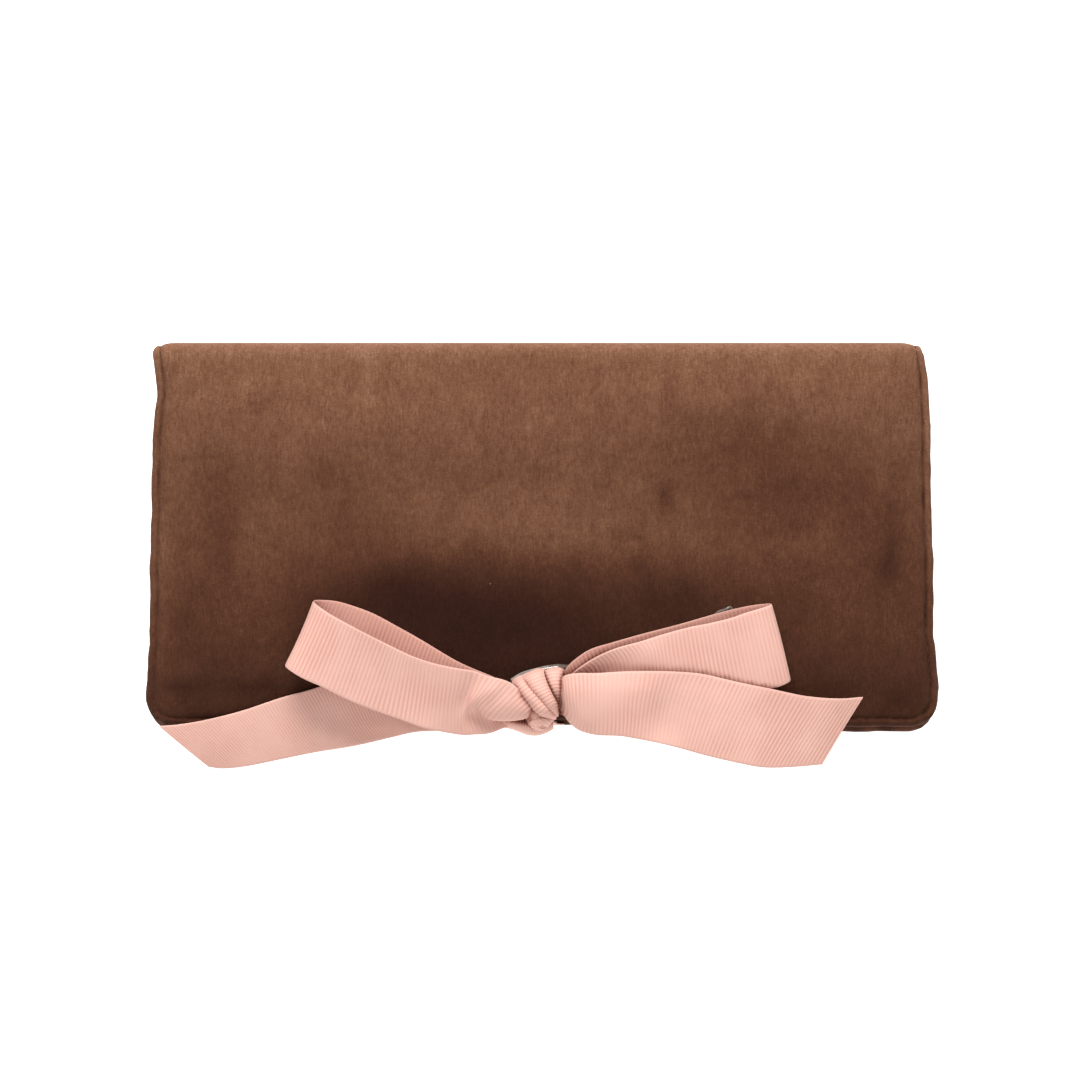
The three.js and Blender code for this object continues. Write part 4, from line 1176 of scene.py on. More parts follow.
RIGHT_TAIL_ROWS = [
    [(559, 684, 5.6), (559, 689, 6.2), (558, 695, 6.2), (557, 700, 5.6), (556, 704, 4.4)],
    [(562, 679, 8.2), (562, 687, 9.2), (561.5, 696, 9.0), (561, 704, 7.6), (560, 708, 5.2)],
    [(564, 676, 9.4), (564.5, 687, 10.6), (565, 698, 10.4), (566, 709, 8.8), (564, 715, 5.6)],
    [(570, 674, 10.6), (571, 688, 11.8), (572, 702, 11.6), (574, 716, 9.8), (571, 724, 6.4)],
    [(581, 673, 11.4), (582, 690, 12.6), (582, 706, 12.2), (583, 722, 10.8), (581, 731, 8.0)],
    [(598, 673, 12.2), (598, 690, 13.2), (598, 706, 13.0), (598, 721, 12.0), (597, 735, 10.4)],
    [(622, 671.5, 12.8), (621, 689, 13.8), (620, 705, 13.6), (620, 720, 12.8), (619, 736, 11.8)],
    [(648, 671, 13.2), (645, 689, 13.8), (642, 706, 13.4), (640, 723, 12.6), (638, 739, 12.0)],
    [(674, 671.5, 13.4), (668, 690, 13.2), (663, 709, 12.4), (660, 727, 11.8), (658, 743, 11.8)],
    [(703, 674, 13.0), (695, 694, 13.2), (688, 713, 12.8), (683, 732, 12.4), (679, 748, 12.2)],
    [(738, 682, 12.4), (729, 702, 12.8), (720, 721, 12.8), (712, 740, 12.6), (706, 755.5, 12.2)],
    [(772, 689, 11.6), (738, 763, 11.6)], [(806, 696, 10.6), (764, 767.5, 10.2)],
    [(838, 698.5, 9.4), (794, 767, 8.6)], [(863, 697, 8.0), (822, 764.5, 6.6)],
]
NARROW_BAND_ROWS = [
    [(526, 676, 3.4), (523, 676, 4.4), (519, 677, 4.8), (515, 679, 4.4), (512, 681, 3.2)],
    [(525, 680, 7.2), (523, 681, 8.4), (520, 683, 8.8), (517, 685, 8.2), (514, 687, 6.4)],
    [(533, 689, 8.6), (530, 690, 9.8), (527, 692, 10.2), (524, 694, 9.8), (521, 696, 7.8)],
    [(542, 699, 9.2), (539, 700, 10.3), (536, 702, 10.7), (533, 704, 10.3), (530, 706, 8.2)],
    [(550, 708, 8.8), (547, 709, 10.0), (544, 711, 10.3), (541, 713, 9.9), (538, 715, 7.8)],
    [(555, 715, 6.6), (553, 716, 7.6), (550, 717, 7.9), (547, 718, 7.4), (545, 719, 5.6)],
    [(556, 719, 3.6), (554, 719, 4.4), (552, 720, 4.6), (550, 721, 4.2), (548, 722, 3.2)],
]
WIDE_BAND_ROWS = [
    [(546, 668, 3.2), (540, 669, 4.6), (533, 671, 5.2), (526, 674, 4.8), (519, 677, 3.2)],
    [(544, 673, 7.4), (539, 673, 8.4), (533, 675, 8.8), (527, 678, 8.4), (521, 681, 6.4)],
    [(547, 683, 8.8), (543, 684, 10.0), (538, 686, 10.4), (533, 688, 10.0), (527, 691, 7.8)],
    [(552, 694, 9.4), (549, 694, 10.6), (545, 696, 11.0), (541, 698, 10.5), (535, 701, 8.2)],
    [(557, 704, 8.8), (555, 704, 9.9), (552, 706, 10.3), (548, 708, 9.8), (543, 711, 7.6)],
    [(558, 711, 6.4), (557, 712, 7.3), (555, 713, 7.6), (552, 714, 7.2), (549, 716, 5.6)],
    [(558, 716, 3.4), (557, 716, 4.2), (556, 717, 4.4), (554, 718, 4.2), (552, 719, 3.2)],
]
FAR_BAND_ROWS = [
    [(566, 668, 2.8), (561, 667, 4.0), (555, 667, 4.6), (549, 668, 4.4), (543, 669, 3.2)],
    [(563, 673, 6.4), (559, 672, 7.6), (554, 672, 8.0), (549, 673, 7.6), (544, 674, 6.2)],
    [(562, 683, 7.6), (559, 683, 8.8), (555, 683, 9.2), (551, 684, 8.8), (547, 685, 7.2)],
    [(562, 693, 7.0), (560, 693, 8.2), (557, 693, 8.6), (554, 694, 8.2), (551, 695, 7.0)],
    [(561, 702, 5.0), (560, 702, 6.0), (558, 702, 6.4), (557, 702, 6.2), (555, 703, 5.4)],
    [(560, 708, 3.0), (559, 708, 3.6), (558, 708, 4.0), (557, 708, 3.8), (556, 709, 3.2)],
]
CURL_ROWS = [
    [(536, 710, 5.0), (540, 712, 6.6), (545, 714, 7.4), (550, 716, 7.0), (553, 718, 5.6)],
    [(532, 712, 5.2), (537, 715, 7.2), (543, 718, 8.0), (548, 721, 7.4), (551, 723, 5.6)],
    [(529, 715, 5.0), (534, 718, 7.2), (539, 721, 8.0), (544, 724, 7.2), (548, 726.5, 5.2)],
    [(527, 720, 4.4), (531, 722, 6.6), (536, 723.5, 7.4), (541, 725, 6.6), (545, 726.5, 4.8)],
    [(528.5, 726, 3.6), (532, 725.5, 5.6), (536.5, 725.5, 6.4), (540.5, 726, 5.8), (543.5, 726.5, 4.4)],
    [(534, 730.5, 3.0), (536, 729, 4.6), (538.5, 728, 5.4), (541, 727.5, 5.2), (543, 727, 4.2)],
    [(542, 731, 2.6), (542.5, 730, 3.8), (543, 729, 4.4), (543.5, 728, 4.4), (544, 727, 3.8)],
    [(549, 727.5, 2.4), (548.5, 727, 3.4), (548, 726.5, 4.0), (547.5, 726, 4.0), (547, 725.5, 3.6)],
]
GATHER_ROWS = [
    [(500, 715, 2.4), (501, 719, 3.2), (502, 722, 3.2), (503, 725, 2.6), (504, 727, 1.8)],
    [(509, 717, 2.6), (510, 721, 3.8), (511, 724, 3.7), (512, 727, 2.9), (513, 729, 1.7)],
    [(517, 718, 2.8), (518, 723, 4.5), (519, 727, 4.3), (520, 730, 3.1), (521, 732, 1.6)],
    [(527, 719, 2.6), (527, 725, 4.6), (527, 730, 4.2), (528, 733, 3.0), (528, 734.5, 1.5)],
    [(537, 719, 2.6), (537, 726, 4.2), (537, 731, 3.8), (537, 734, 2.8), (537, 735, 1.5)],
    [(546, 718, 2.6), (546, 724, 3.8), (546, 729, 3.5), (546, 731.5, 2.6), (546, 732.5, 1.5)],
    [(552, 716, 2.4), (552.5, 721, 3.2), (553, 725, 3.0), (553, 727.5, 2.2), (553, 728.5, 1.4)],
]
FILM_ROWS = [
    [(509, 686, 3.0), (510, 684, 3.2), (510, 682, 3.1), (511, 680, 3.5), (511.5, 678.5, 3.3)],
    [(524, 688, 3.0), (523, 684, 3.6), (522, 680, 3.2), (521.5, 676, 4.1), (521, 672.5, 3.9)],
    [(542, 684, 3.2), (541.5, 680, 4.0), (541, 675, 3.6), (540.5, 671, 4.9), (540, 667, 4.4)],
    [(558, 682, 3.2), (557.5, 678, 4.2), (557, 673, 3.7), (556.5, 668.5, 5.2), (556, 664, 4.6)],
    [(578, 674, 3.2), (577, 671, 3.8), (576, 668.5, 3.3), (575, 666, 4.3), (574, 663.5, 4.0)],
    [(610, 656, 3.0), (607, 648.5, 3.4)], [(650, 642, 2.9), (647, 638, 3.2)],
    [(690, 631, 2.9), (688, 625.5, 3.2)], [(706, 626, 3.0), (708, 619, 3.3)],
    [(716, 622, 3.0), (716, 619, 3.4), (717, 616, 3.0), (717, 614, 3.8), (717, 611.5, 3.6)],
    [(724, 618, 3.0), (724, 615, 3.7), (724, 612, 3.1), (725, 610, 4.3), (725, 608, 4.0)],
    [(729, 614, 3.0), (729, 612, 3.6), (729, 610, 3.2), (730, 608, 4.2), (730, 606, 4.0)],
    [(733, 612, 3.0), (733, 611, 3.2), (733, 610, 3.1), (733, 609.5, 3.4), (733, 608.5, 3.4)],
]
LEFT_TAIL_CUT = 0.1
RIGHT_TAIL_CUT = 0.092


def add_knot_core():
    """The tightly wound middle of the knot, a rounded lump ribbed like the bands laid over it."""
    rise, half_z = 4.4 * MM, 4.4 * MM
    middle, side = from_photo(540, 702, rise), from_photo(559, 702, rise)
    front = from_photo(540, 729, 3 * MM)
    half_x, half_y = (side - middle).x, (middle - front).y
    along, around = np.meshgrid(np.linspace(0.02, math.pi - 0.02, 40), np.arange(48) / 48 * 2 * math.pi,
                                indexing="ij")
    swell = 1 + 0.02 * np.cos(around * 9 + 2 * np.sin(along * 3)) + 0.012 * np.cos(along * 46)
    rings = np.stack([middle.x + half_x * np.sin(along) * np.cos(around) * swell,
                      middle.y + half_y * np.cos(along) * swell,
                      middle.z + half_z * np.sin(along) * np.sin(around) * swell], axis=-1)
    core = loop_grid("bow_knot_core", rings)
    # The whole core takes the rib valleys' painted shade at one strength.
    set_attribute(core, "rib_valley", np.full(len(core.data.vertices), 0.6))
    return core


# How closed in the bow's points are, for painted shade in its folds: one point in CREASE_STRIDE looks in
# CREASE_RAYS directions, from CREASE_START off the ribbon, for ribbon within CREASE_REACH, up to
# CREASE_LIMIT. Every point takes a mean of the CREASE_NEIGHBOURS nearest of those, and CREASE_SOFTNESS
# keeps the very nearest from ruling.
CREASE_REACH = 13 * MM
CREASE_RAYS = 24
CREASE_STRIDE = 7
CREASE_LIMIT = 0.62
CREASE_START = 0.2 * MM
CREASE_NEIGHBOURS = 7
CREASE_SOFTNESS = 0.3 * MM


def mesh_numbers(piece):
    """A mesh's points and normals as arrays, and its faces as lists."""
    mesh = piece.data
    points = np.empty(len(mesh.vertices) * 3)
    normals = np.empty(len(mesh.vertices) * 3)
    mesh.vertices.foreach_get("co", points)
    mesh.vertices.foreach_get("normal", normals)
    return points.reshape(-1, 3), normals.reshape(-1, 3), [list(face.vertices) for face in mesh.polygons]


def closed_in(tree, place, normal, spread):
    """How much other ribbon lies in front of a point, from 0 to the limit."""
    start = Vector(place + normal * CREASE_START)
    total = 0.0
    for direction in spread + normal * 1.05:
        hit = tree.ray_cast(start, Vector(direction).normalized(), CREASE_REACH)
        if hit[0] is not None:
            total += 1 - hit[3] / CREASE_REACH
    return min(total / CREASE_RAYS, CREASE_LIMIT)


def mark_creases(pieces):
    """Stores how closed in each point of the bow is, so that painted shade can darken its folds."""
    numbers = [mesh_numbers(piece) for piece in pieces]
    points, faces = [], []
    for places, _, polygons in numbers:
        first = len(points)
        points += places.tolist()
        faces += [[first + corner for corner in face] for face in polygons]
    tree = BVHTree.FromPolygons(points, faces)
    spread = np.random.default_rng(14).normal(size=(CREASE_RAYS, 3))
    spread /= np.linalg.norm(spread, axis=1, keepdims=True)
    for piece, (places, normals, _) in zip(pieces, numbers):
        chosen = range(0, len(places), CREASE_STRIDE)
        closed = [closed_in(tree, places[number], normals[number], spread) for number in chosen]
        finder = KDTree(len(chosen))
        for order, number in enumerate(chosen):
            finder.insert(places[number], order)
        finder.balance()
        values = []
        for place, normal in zip(places, normals):
            total, weights = 0.0, 0.0
            for _, order, away in finder.find_n(place, CREASE_NEIGHBOURS):
                facing = float(np.dot(normal, normals[chosen[order]]))
                weight = max(facing, 0.001) ** 2 / (away + CREASE_SOFTNESS)
                total += weight * closed[order]
                weights += weight
            values.append(total / weights)
        set_attribute(piece, "closed_in", values)


def add_bow(ribbon, film):
    """The two loops, two tails and the bands of the knot, all of one grosgrain ribbon."""
    made = {}
    for name, rows, camber, pitch in (
            ("bow_left_loop_ribbon", LEFT_LOOP_ROWS, 0.35 * MM, RIB_PITCH),
            ("bow_right_loop_ribbon", RIGHT_LOOP_ROWS, 0.2 * MM, RIB_PITCH),
            ("bow_left_tail_ribbon", LEFT_TAIL_ROWS, 0.3 * MM, 0.74 * RIB_PITCH),
            ("bow_right_tail_ribbon", RIGHT_TAIL_ROWS, 0.3 * MM, RIB_PITCH),
            ("knot_narrow_band", NARROW_BAND_ROWS, 0.0, 0.9 * RIB_PITCH),
            ("knot_wide_band", WIDE_BAND_ROWS, 0.0, 0.85 * RIB_PITCH),
            ("knot_far_band", FAR_BAND_ROWS, 0.0, 0.85 * RIB_PITCH),
            ("knot_curl", CURL_ROWS, 0.0, 0.7 * RIB_PITCH),
            ("knot_gathers", GATHER_ROWS, 0.0, 0.6 * RIB_PITCH)):
        # The inside faces of the two loops take painted shade.
        inner = (name == "bow_left_loop_ribbon", name == "bow_right_loop_ribbon")
        made[name] = ribbon_band(name, photo_rows(rows), camber, pitch=pitch, inner=inner)
    made["bow_knot_core"] = add_knot_core()
    mark_creases(list(made.values()))
    for piece in made.values():
        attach(dress(piece, ribbon), "flap")
    strip = ribbon_band("clear_film_strip", photo_rows(FILM_ROWS), 0.3 * MM, 0.16 * MM, 0)
    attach(dress(strip, film), "flap")
    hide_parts("clear_bow_strip")
    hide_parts("bow_knot")
    for side, cut in (("left", LEFT_TAIL_CUT), ("right", RIGHT_TAIL_CUT)):
        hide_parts(f"bow_{side}_loop")
        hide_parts(f"bow_{side}_tail")


def add_floor():
    reach = 3.0
    corners = [(-reach, -reach, 0), (reach, -reach, 0), (reach, reach, 0), (-reach, reach, 0)]
    piece = add_object("table_top", corners, [(0, 1, 2, 3)])
    piece.location.z = -0.05 * MM
    white = Finish("white_table")
    white.set(Base_Color=(0.93, 0.93, 0.93, 1), Roughness=0.8, Emission_Color=(1, 1, 1, 1),
              Emission_Strength=0.8)
    piece.data.materials.append(white.finish())


def add_lights():
    """Even light all round, a window behind the roll and a weaker fill in front of it."""
    world = bpy.data.worlds.new("studio")
    bpy.context.scene.world = world
    world.use_nodes = True
    world.node_tree.nodes["Background"].inputs["Color"].default_value = (1, 1, 1, 1)
    world.node_tree.nodes["Background"].inputs["Strength"].default_value = 0.5
    for name, place, size, power in (("window_light", (-0.15, 1.0, 0.9), 0.7, 24),
                                     ("fill_light", (0.2, -0.8, 1.3), 1.2, 7)):
        data = bpy.data.lights.new(name, "AREA")
        data.size = size
        data.energy = power
        light = link_object(name, data)
        light.location = place
        light.rotation_euler = Vector(place).to_track_quat("Z", "Y").to_euler()
    bpy.context.scene.view_settings.view_transform = "Standard"


def dress(piece, material):
    piece.data.materials.clear()
    piece.data.materials.append(material)
    return piece


# Velvet, wadding and lining of the two panels and the spine

FLAP_CORNER_Z = NEAR_EDGE_Z + FLAP_SLOPE * (FOLD_Y - NEAR_Y)
FLAP_SECTION = Section((NEAR_Y, NEAR_EDGE_Z), (FOLD_Y, FLAP_CORNER_Z), (FOLD_Y, SPINE_MIDDLE_Z),
                       FOLD_ROUND, 1)
BACK_SECTION = Section((NEAR_Y, 0), (FOLD_Y, 0), (FOLD_Y, SPINE_MIDDLE_Z), LOWER_FOLD_ROUND, -1)
LINING_INSET = 1.7 * MM
LINING_THICKNESS = 0.6 * MM
LINING_CORNER = 1.6 * MM


def flap_form(x, y, w):
    rise = cushion_height(x, y, w)
    return rise * (1 - smooth_steps(FLAP_SECTION.flat - 6 * MM, FLAP_SECTION.flat, w))


def back_form(x, _, w):
    flat = 1 - smooth_steps(BACK_SECTION.flat - 4 * MM, BACK_SECTION.flat, w)
    return (unevenness(x, w, (0.15, 40, 12)) - 0.15 * MM) * flat


def bend_flap(piece):
    """Bakes the flap piece's placement into its mesh."""
    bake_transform(piece)


def bend_back(piece):
    """Bakes the back piece's placement into its mesh."""
    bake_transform(piece)


def add_wraps(velvet, wadding, sewing):
    """Each panel's velvet, with its half of the spine, its wadding and the seam inside its edge."""
    for name, section, form, nap, bend, covers, filled, fill in (
            ("flap", FLAP_SECTION, flap_form, flap_tone_light_and_shade, bend_flap,
             ("flap_cover",), ("flap_padding",), 0.5),
            ("back", BACK_SECTION, back_form, back_tone_and_light, bend_back,
             ("back_cover", "spine_cover"), ("back_padding", "spine_padding"), 0.35)):
        wrap = Wrap(section, form, nap, Swell(section, form) if name == "flap" else None)
        cover = dress(wrap.velvet(f"{name}_velvet_cover"), velvet)
        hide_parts(*covers)
        bend(cover)
        filling = dress(wrap.wadding(f"{name}_wadding"), wadding)
        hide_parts(*filled)
        bend(filling)
        bend(sewing.seam(f"{name}_stitches_around", wrap.stitch_line(), EDGE_STITCH, "velvet"))


def add_linings(lining):
    """Each panel's satin lining, with its half of the spine."""
    inner_y = SPINE_LOW.y
    inner_flap_z = NEAR_EDGE_Z - PANEL_THICKNESS
    flap_corner = inner_flap_z + FLAP_SLOPE * (inner_y - NEAR_Y)
    for name, near_z, corner_z, outward, bodies, nodes in (
            ("flap", inner_flap_z, flap_corner, 1,
             ("spine", "flap"), ("flap_lining",)),
            ("back", PANEL_THICKNESS, PANEL_THICKNESS, -1,
             ("back", "spine"), ("back_lining", "spine_lining"))):
        section = Section((NEAR_Y, near_z), (inner_y, corner_z), (inner_y, SPINE_MIDDLE_Z),
                          LINING_CORNER, outward)
        x, w = lining_grid(section)
        inset = np.minimum(HALF_LENGTH - np.abs(x), w)
        soft = unevenness(x, w, (0.12, 16, 21)) * smooth_steps(3 * MM, 12 * MM, inset)
        half = LINING_THICKNESS / 2 * rounded_edge((inset - LINING_INSET) / (0.5 * MM))
        centre = LINING_THICKNESS / 2 + np.abs(soft)
        upper = wrap_place(section, x, w, centre + half)
        lower = wrap_place(section, x, w, centre - half)
        piece = dress(closed_grid(f"{name}_satin_lining", upper, lower), lining)
        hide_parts(*nodes)
        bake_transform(piece)


def lining_grid(section):
    """A grid over a lining, with close lines where it bends into the spine."""
    reach = HALF_LENGTH - LINING_INSET
    columns = edged_lines(-reach, reach, 3 * MM)
    bend = section.flat + section.arc / 2
    tight = 4 * MM
    rows = np.concatenate([edged_lines(LINING_INSET, bend - tight, 3 * MM)[:-3],
                           even_lines(bend - tight, bend + tight, 0.35 * MM),
                           even_lines(bend + tight, section.length, 2 * MM)[1:]])
    return np.meshgrid(columns, rows, indexing="ij")


# Zip pockets on the inside of the two panels

TAPE_THICKNESS = 0.5 * MM
POCKET_THICKNESS = 0.55 * MM
HEM_DEPTH = 5 * MM
TOOTH_PITCH = 1.5 * MM
SEAM_INSET = 1.2 * MM
SEAM_STEP = 1 * MM
SEAM_RISE = 0.02 * MM

# One tooth's outline: shares of its reach across the zip, and mm along it.
TOOTH_OUTLINE = [(-1, -0.42), (-0.15, -0.42), (0, -0.5), (0.22, -0.42), (0.3, 0), (0.22, 0.42), (0, 0.5),
                 (-0.15, 0.42), (-1, 0.42)]


def pocket_height(low, high, x, s):
    """Hemmed along its top, easing out between its sewn sides and bottom."""
    inset = np.minimum(np.minimum(x - low[0], high[0] - x), s - low[1])
    ease = smooth_steps(1.5 * MM, 16 * MM, inset)
    rising = smooth_steps(low[1], high[1], s)
    folds = (np.abs(unevenness(x, s * 0.35, (0.35, 24, 31)))
             + np.abs(unevenness(x, s * 0.5, (0.12, 8, 32))))
    hem = 0.16 * MM * smooth_steps(high[1] - HEM_DEPTH - 0.5 * MM, high[1] - HEM_DEPTH, s)
    return low[2] + POCKET_THICKNESS / 2 + folds * ease * (0.35 + 0.65 * rising) + hem


def tape_height(low, _, x, s):
    return low[2] + TAPE_THICKNESS / 2 + 0.05 * MM * (1 + ripple(x, s, 30 * MM, 41))


def pocket_seams(low, high):
    """The hem's seam, and the one down, along and up the pocket's sewn edges."""
    across = np.arange(low[0] + SEAM_INSET, high[0] - SEAM_INSET, SEAM_STEP)
    up = np.arange(low[1] + SEAM_INSET, high[1], SEAM_STEP)
    left, right = np.full_like(up, low[0] + SEAM_INSET), np.full_like(up, high[0] - SEAM_INSET)
    bottom = np.full_like(across, low[1] + SEAM_INSET)
    return {"hem": (across, np.full_like(across, high[1] - HEM_DEPTH + 0.8 * MM)),
            "around": (np.concatenate([left, across, right]), np.concatenate([up[::-1], bottom, up]))}


def add_pocket(face, side, lining, tape, gilt, sewing):
    """One zip pocket: its panel and seams, its two tapes, then its metal."""
    low, high = face.span(f"{side}_pocket")
    pocket = face_cloth(f"{side}_satin_pocket", face, (low, high), pocket_height,
                        thickness=POCKET_THICKNESS, step=1.6 * MM)
    dress(pocket, lining)
    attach(pocket, face.body)
    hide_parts(f"{side}_pocket")
    for part, (x, s) in pocket_seams(low, high).items():
        points = face.place(x, s, pocket_height(low, high, x, s) + POCKET_THICKNESS / 2 + SEAM_RISE)
        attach(sewing.seam(f"{side}_pocket_stitches_{part}", points, POCKET_STITCH, "lining"), face.body)
    tapes = [add_tape(face, side, "upper", 1.6 * MM, tape, sewing),
             add_tape(face, side, "lower", -1.6 * MM, tape, sewing)]
    add_zip_metal(face, side, gilt)


def add_tape(face, side, row, seam_offset, tape, sewing):
    """One woven tape of a zip, sewn along a line beside its middle."""
    low, high = face.span(f"{side}_zip_{row}_tape")
    piece = face_cloth(f"{side}_{row}_woven_tape", face, (low, high), tape_height,
                       thickness=TAPE_THICKNESS, step=1.2 * MM, edge=0.3 * MM)
    dress(piece, tape)
    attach(piece, face.body)
    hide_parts(f"{side}_zip_{row}_tape")
    x = np.arange(low[0] + SEAM_INSET, high[0] - SEAM_INSET, SEAM_STEP)
    s = np.full_like(x, (low[1] + high[1]) / 2 + seam_offset)
    points = face.place(x, s, tape_height(low, high, x, s) + TAPE_THICKNESS / 2 + SEAM_RISE)
    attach(sewing.seam(f"{side}_{row}_tape_stitches", points, POCKET_STITCH, "zip_tape"), face.body)
    return piece


def tooth_shape(face, reach, height, sign):
    """One metal tooth clamped over a tape's edge: a narrow head that reaches past the middle."""
    spots = [np.array([along * MM, share * reach * sign, level])
             for level in (0.0, height) for share, along in TOOTH_OUTLINE]
    points = [face.place(*spot) - face.origin for spot in spots]
    count = len(TOOTH_OUTLINE)
    lower, upper = list(range(count)), list(range(count, 2 * count))
    sides = [[i, (i + 1) % count, (i + 1) % count + count, i + count] for i in range(count)]
    piece = add_object("zip_tooth", points, [lower[::-1], upper] + sides)
    clean_up(piece, 0.001 * MM)
    rounding = piece.modifiers.new("rounding", "BEVEL")
    rounding.width = 0.12 * MM
    rounding.segments = 1
    return bake(piece, "zip_tooth")


def add_zip_metal(face, side, gilt):
    """A zip's two rows of teeth, its end stops, its slider and its pull."""
    low, high = face.span(f"{side}_zip_teeth")
    middle, height = (low[1] + high[1]) / 2, high[2] - low[2]
    rows = []
    tree = tooth_tree()
    for sign, start in ((1, 0.0), (-1, TOOTH_PITCH / 2)):
        tooth = tooth_shape(face, (high[1] - low[1]) / 2, height, sign)
        x = np.arange(low[0] + 0.8 * MM + start, high[0] - 0.6 * MM, TOOTH_PITCH)
        line = add_object(f"{side}_tooth_line", face.place(x, middle, low[2]), [])
        values = {"Tooth": tooth, "Tooth Metal": gilt}
        rows.append(tree.run(f"{side}_zip_tooth_row_{len(rows)}", line, values))
        bpy.data.objects.remove(tooth)
    for row in rows:
        shade(row.data, False)
        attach(dress(row, gilt), face.body)
        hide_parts(f"{side}_zip_teeth")
    for node, body in ((f"{side}_zip_left_stop", face.body), (f"{side}_zip_right_stop", face.body),
                       (f"{side}_zip_slider", f"{side}_slider"), (f"{side}_zip_pull", f"{side}_pull")):
        piece = dress(softened_copy(f"{node}_metal", node), gilt)
        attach(piece, body)
        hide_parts(node)


# Ring bar on the inside of the back panel

BAR_LOW, BAR_HIGH = box_of("ring_bar_sleeve")
BAR_Y, BAR_Z = ((BAR_LOW + BAR_HIGH) / 2)[1:]
BAR_RADIUS = (BAR_HIGH[2] - BAR_LOW[2]) / 2
BAR_WALL = 1.0 * MM
BAR_ANGLES = np.arange(64) / 64 * 2 * math.pi
TAB_SEAM_INSET = 1.1 * MM
TAB_SEAM_RISE = 0.37 * MM
TAB_SEAM_POINTS = 14

# The bar's gathered ends, from the inside out: shares of the bar's radius and of the end's depth.
END_SHARES = np.array([0.15, 0.6, 0.95, 1.0, 0.97, 0.88, 0.75, 0.6, 0.45, 0.3, 0.16, 0.06])[:, None]
END_DEPTHS = np.array([0.0, 0.0, 0.0, 0.35, 0.7, 0.9, 0.97, 0.97, 0.9, 0.8, 0.62, 0.5])[:, None]


def bar_rings(x, radius, angle):
    """Rings of points about the bar's middle line."""
    return np.stack([x, BAR_Y + radius * np.cos(angle), BAR_Z + radius * np.sin(angle)], axis=-1)


def sleeve_rings():
    """The sleeve's outside, with soft folds, pleats at both ends and a sewn seam, and then its inside."""
    x, angle = np.meshgrid(edged_lines(BAR_LOW[0], BAR_HIGH[0], 1.3 * MM, 0.6 * MM), BAR_ANGLES,
                           indexing="ij")
    gather = np.exp(-np.minimum(x - BAR_LOW[0], BAR_HIGH[0] - x) / (5 * MM))
    folds = unevenness(x, angle * BAR_RADIUS, (0.28, 13, 51)) * (1 - gather)
    pleats = 0.3 * MM * np.cos(angle * 16 + 0.6 * np.sin(angle * 3)) * gather
    outer = BAR_RADIUS - 0.45 * MM + folds + pleats - 0.9 * MM * gather ** 2
    seam = 0.35 * MM * np.exp(-((angle - math.pi * 1.5) * BAR_RADIUS / (0.5 * MM)) ** 2)
    outer = np.minimum(outer - seam, BAR_RADIUS)
    inner = np.full_like(x, BAR_RADIUS - BAR_WALL - 0.6 * MM)
    return np.concatenate([bar_rings(x, outer, angle), bar_rings(x, inner, angle)[::-1]])


def core_rings():
    low, high = box_of("ring_bar_core")
    x, angle = np.meshgrid(edged_lines(low[0], high[0], 5 * MM, 1 * MM), BAR_ANGLES[::2], indexing="ij")
    from_end = np.minimum(x - low[0], high[0] - x)
    radius = (BAR_RADIUS - BAR_WALL - 0.9 * MM) * np.sqrt(np.clip(from_end / (1 * MM) + 0.05, 0, 1))
    return bar_rings(x, radius, angle)


def end_rings(inside, outside):
    """Velvet drawn together at the bar's end: pleated, and dimpled in its middle."""
    pleats = np.cos(BAR_ANGLES * 14)[None, :]
    reach = BAR_RADIUS - BAR_WALL - 0.7 * MM
    radius = END_SHARES * reach * (1 + 0.03 * pleats * END_SHARES)
    x = inside + (outside - inside) * (END_DEPTHS * (1 + 0.1 * pleats * (1 - END_SHARES)))
    return bar_rings(x, radius, BAR_ANGLES)


def add_ring_bar(velvet, wadding, gilt, sewing):
    """The stuffed bar with its two gathered ends, its two tabs and its snap."""
    sleeve = dress(ring_grid("ring_bar_velvet_sleeve", sleeve_rings()), velvet)
    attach(sleeve, "ring_bar")
    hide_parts("ring_bar_sleeve")
    core = dress(loop_grid("ring_bar_stuffing", core_rings()), wadding)
    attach(core, "ring_bar")
    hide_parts("ring_bar_core")
    for side in ("left", "right"):
        low, high = box_of(f"ring_bar_{side}_end")
        inside, outside = (high[0], low[0]) if side == "left" else (low[0], high[0])
        piece = loop_grid(f"ring_bar_{side}_gathered_end", end_rings(inside, outside))
        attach(dress(piece, velvet), "ring_bar")
        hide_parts(f"ring_bar_{side}_end")
    add_tab("ring_bar_sewn_tab", "ring_bar_sewn_velvet_tab", "back", velvet, sewing)
    add_tab("ring_bar_snap_tab", "ring_bar_snap_velvet_tab", "ring_bar", velvet, sewing)
    add_snap(gilt)


def tab_height(low, high, x, s):
    return (low[2] + high[2]) / 2 + unevenness(x, s, (0.06, 8, 61))


def add_tab(node, name, body, velvet, sewing):
    """One velvet tab of the bar, sewn round its edge; the fixed one is also sewn crosswise."""
    low, high = box_of(node)
    face = Face(body, (0, 0, 0), (0, 1, 0), (0, 0, 1))
    tab = face_cloth(name, face, (low, high), tab_height, thickness=0.7 * MM, step=0.8 * MM, edge=0.4 * MM)
    dress(tab, velvet)
    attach(tab, body)
    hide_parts(node)
    left, right = low[0] + TAB_SEAM_INSET, high[0] - TAB_SEAM_INSET
    near, far = low[1] + TAB_SEAM_INSET, high[1] - TAB_SEAM_INSET
    corners = [(left, near), (right, near), (right, far), (left, far), (left, near)]
    if body == "back":
        corners += [(right, far), (right, near), (left, far)]
    runs = [np.linspace(here, there, TAB_SEAM_POINTS, endpoint=False)
            for here, there in zip(corners, corners[1:])]
    line = np.concatenate(runs + [np.array([corners[-1]])])
    points = np.column_stack([line, np.full(len(line), (low[2] + high[2]) / 2 + TAB_SEAM_RISE)])
    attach(sewing.seam(f"{name}_stitches", points, TAB_STITCH, "velvet"), body)


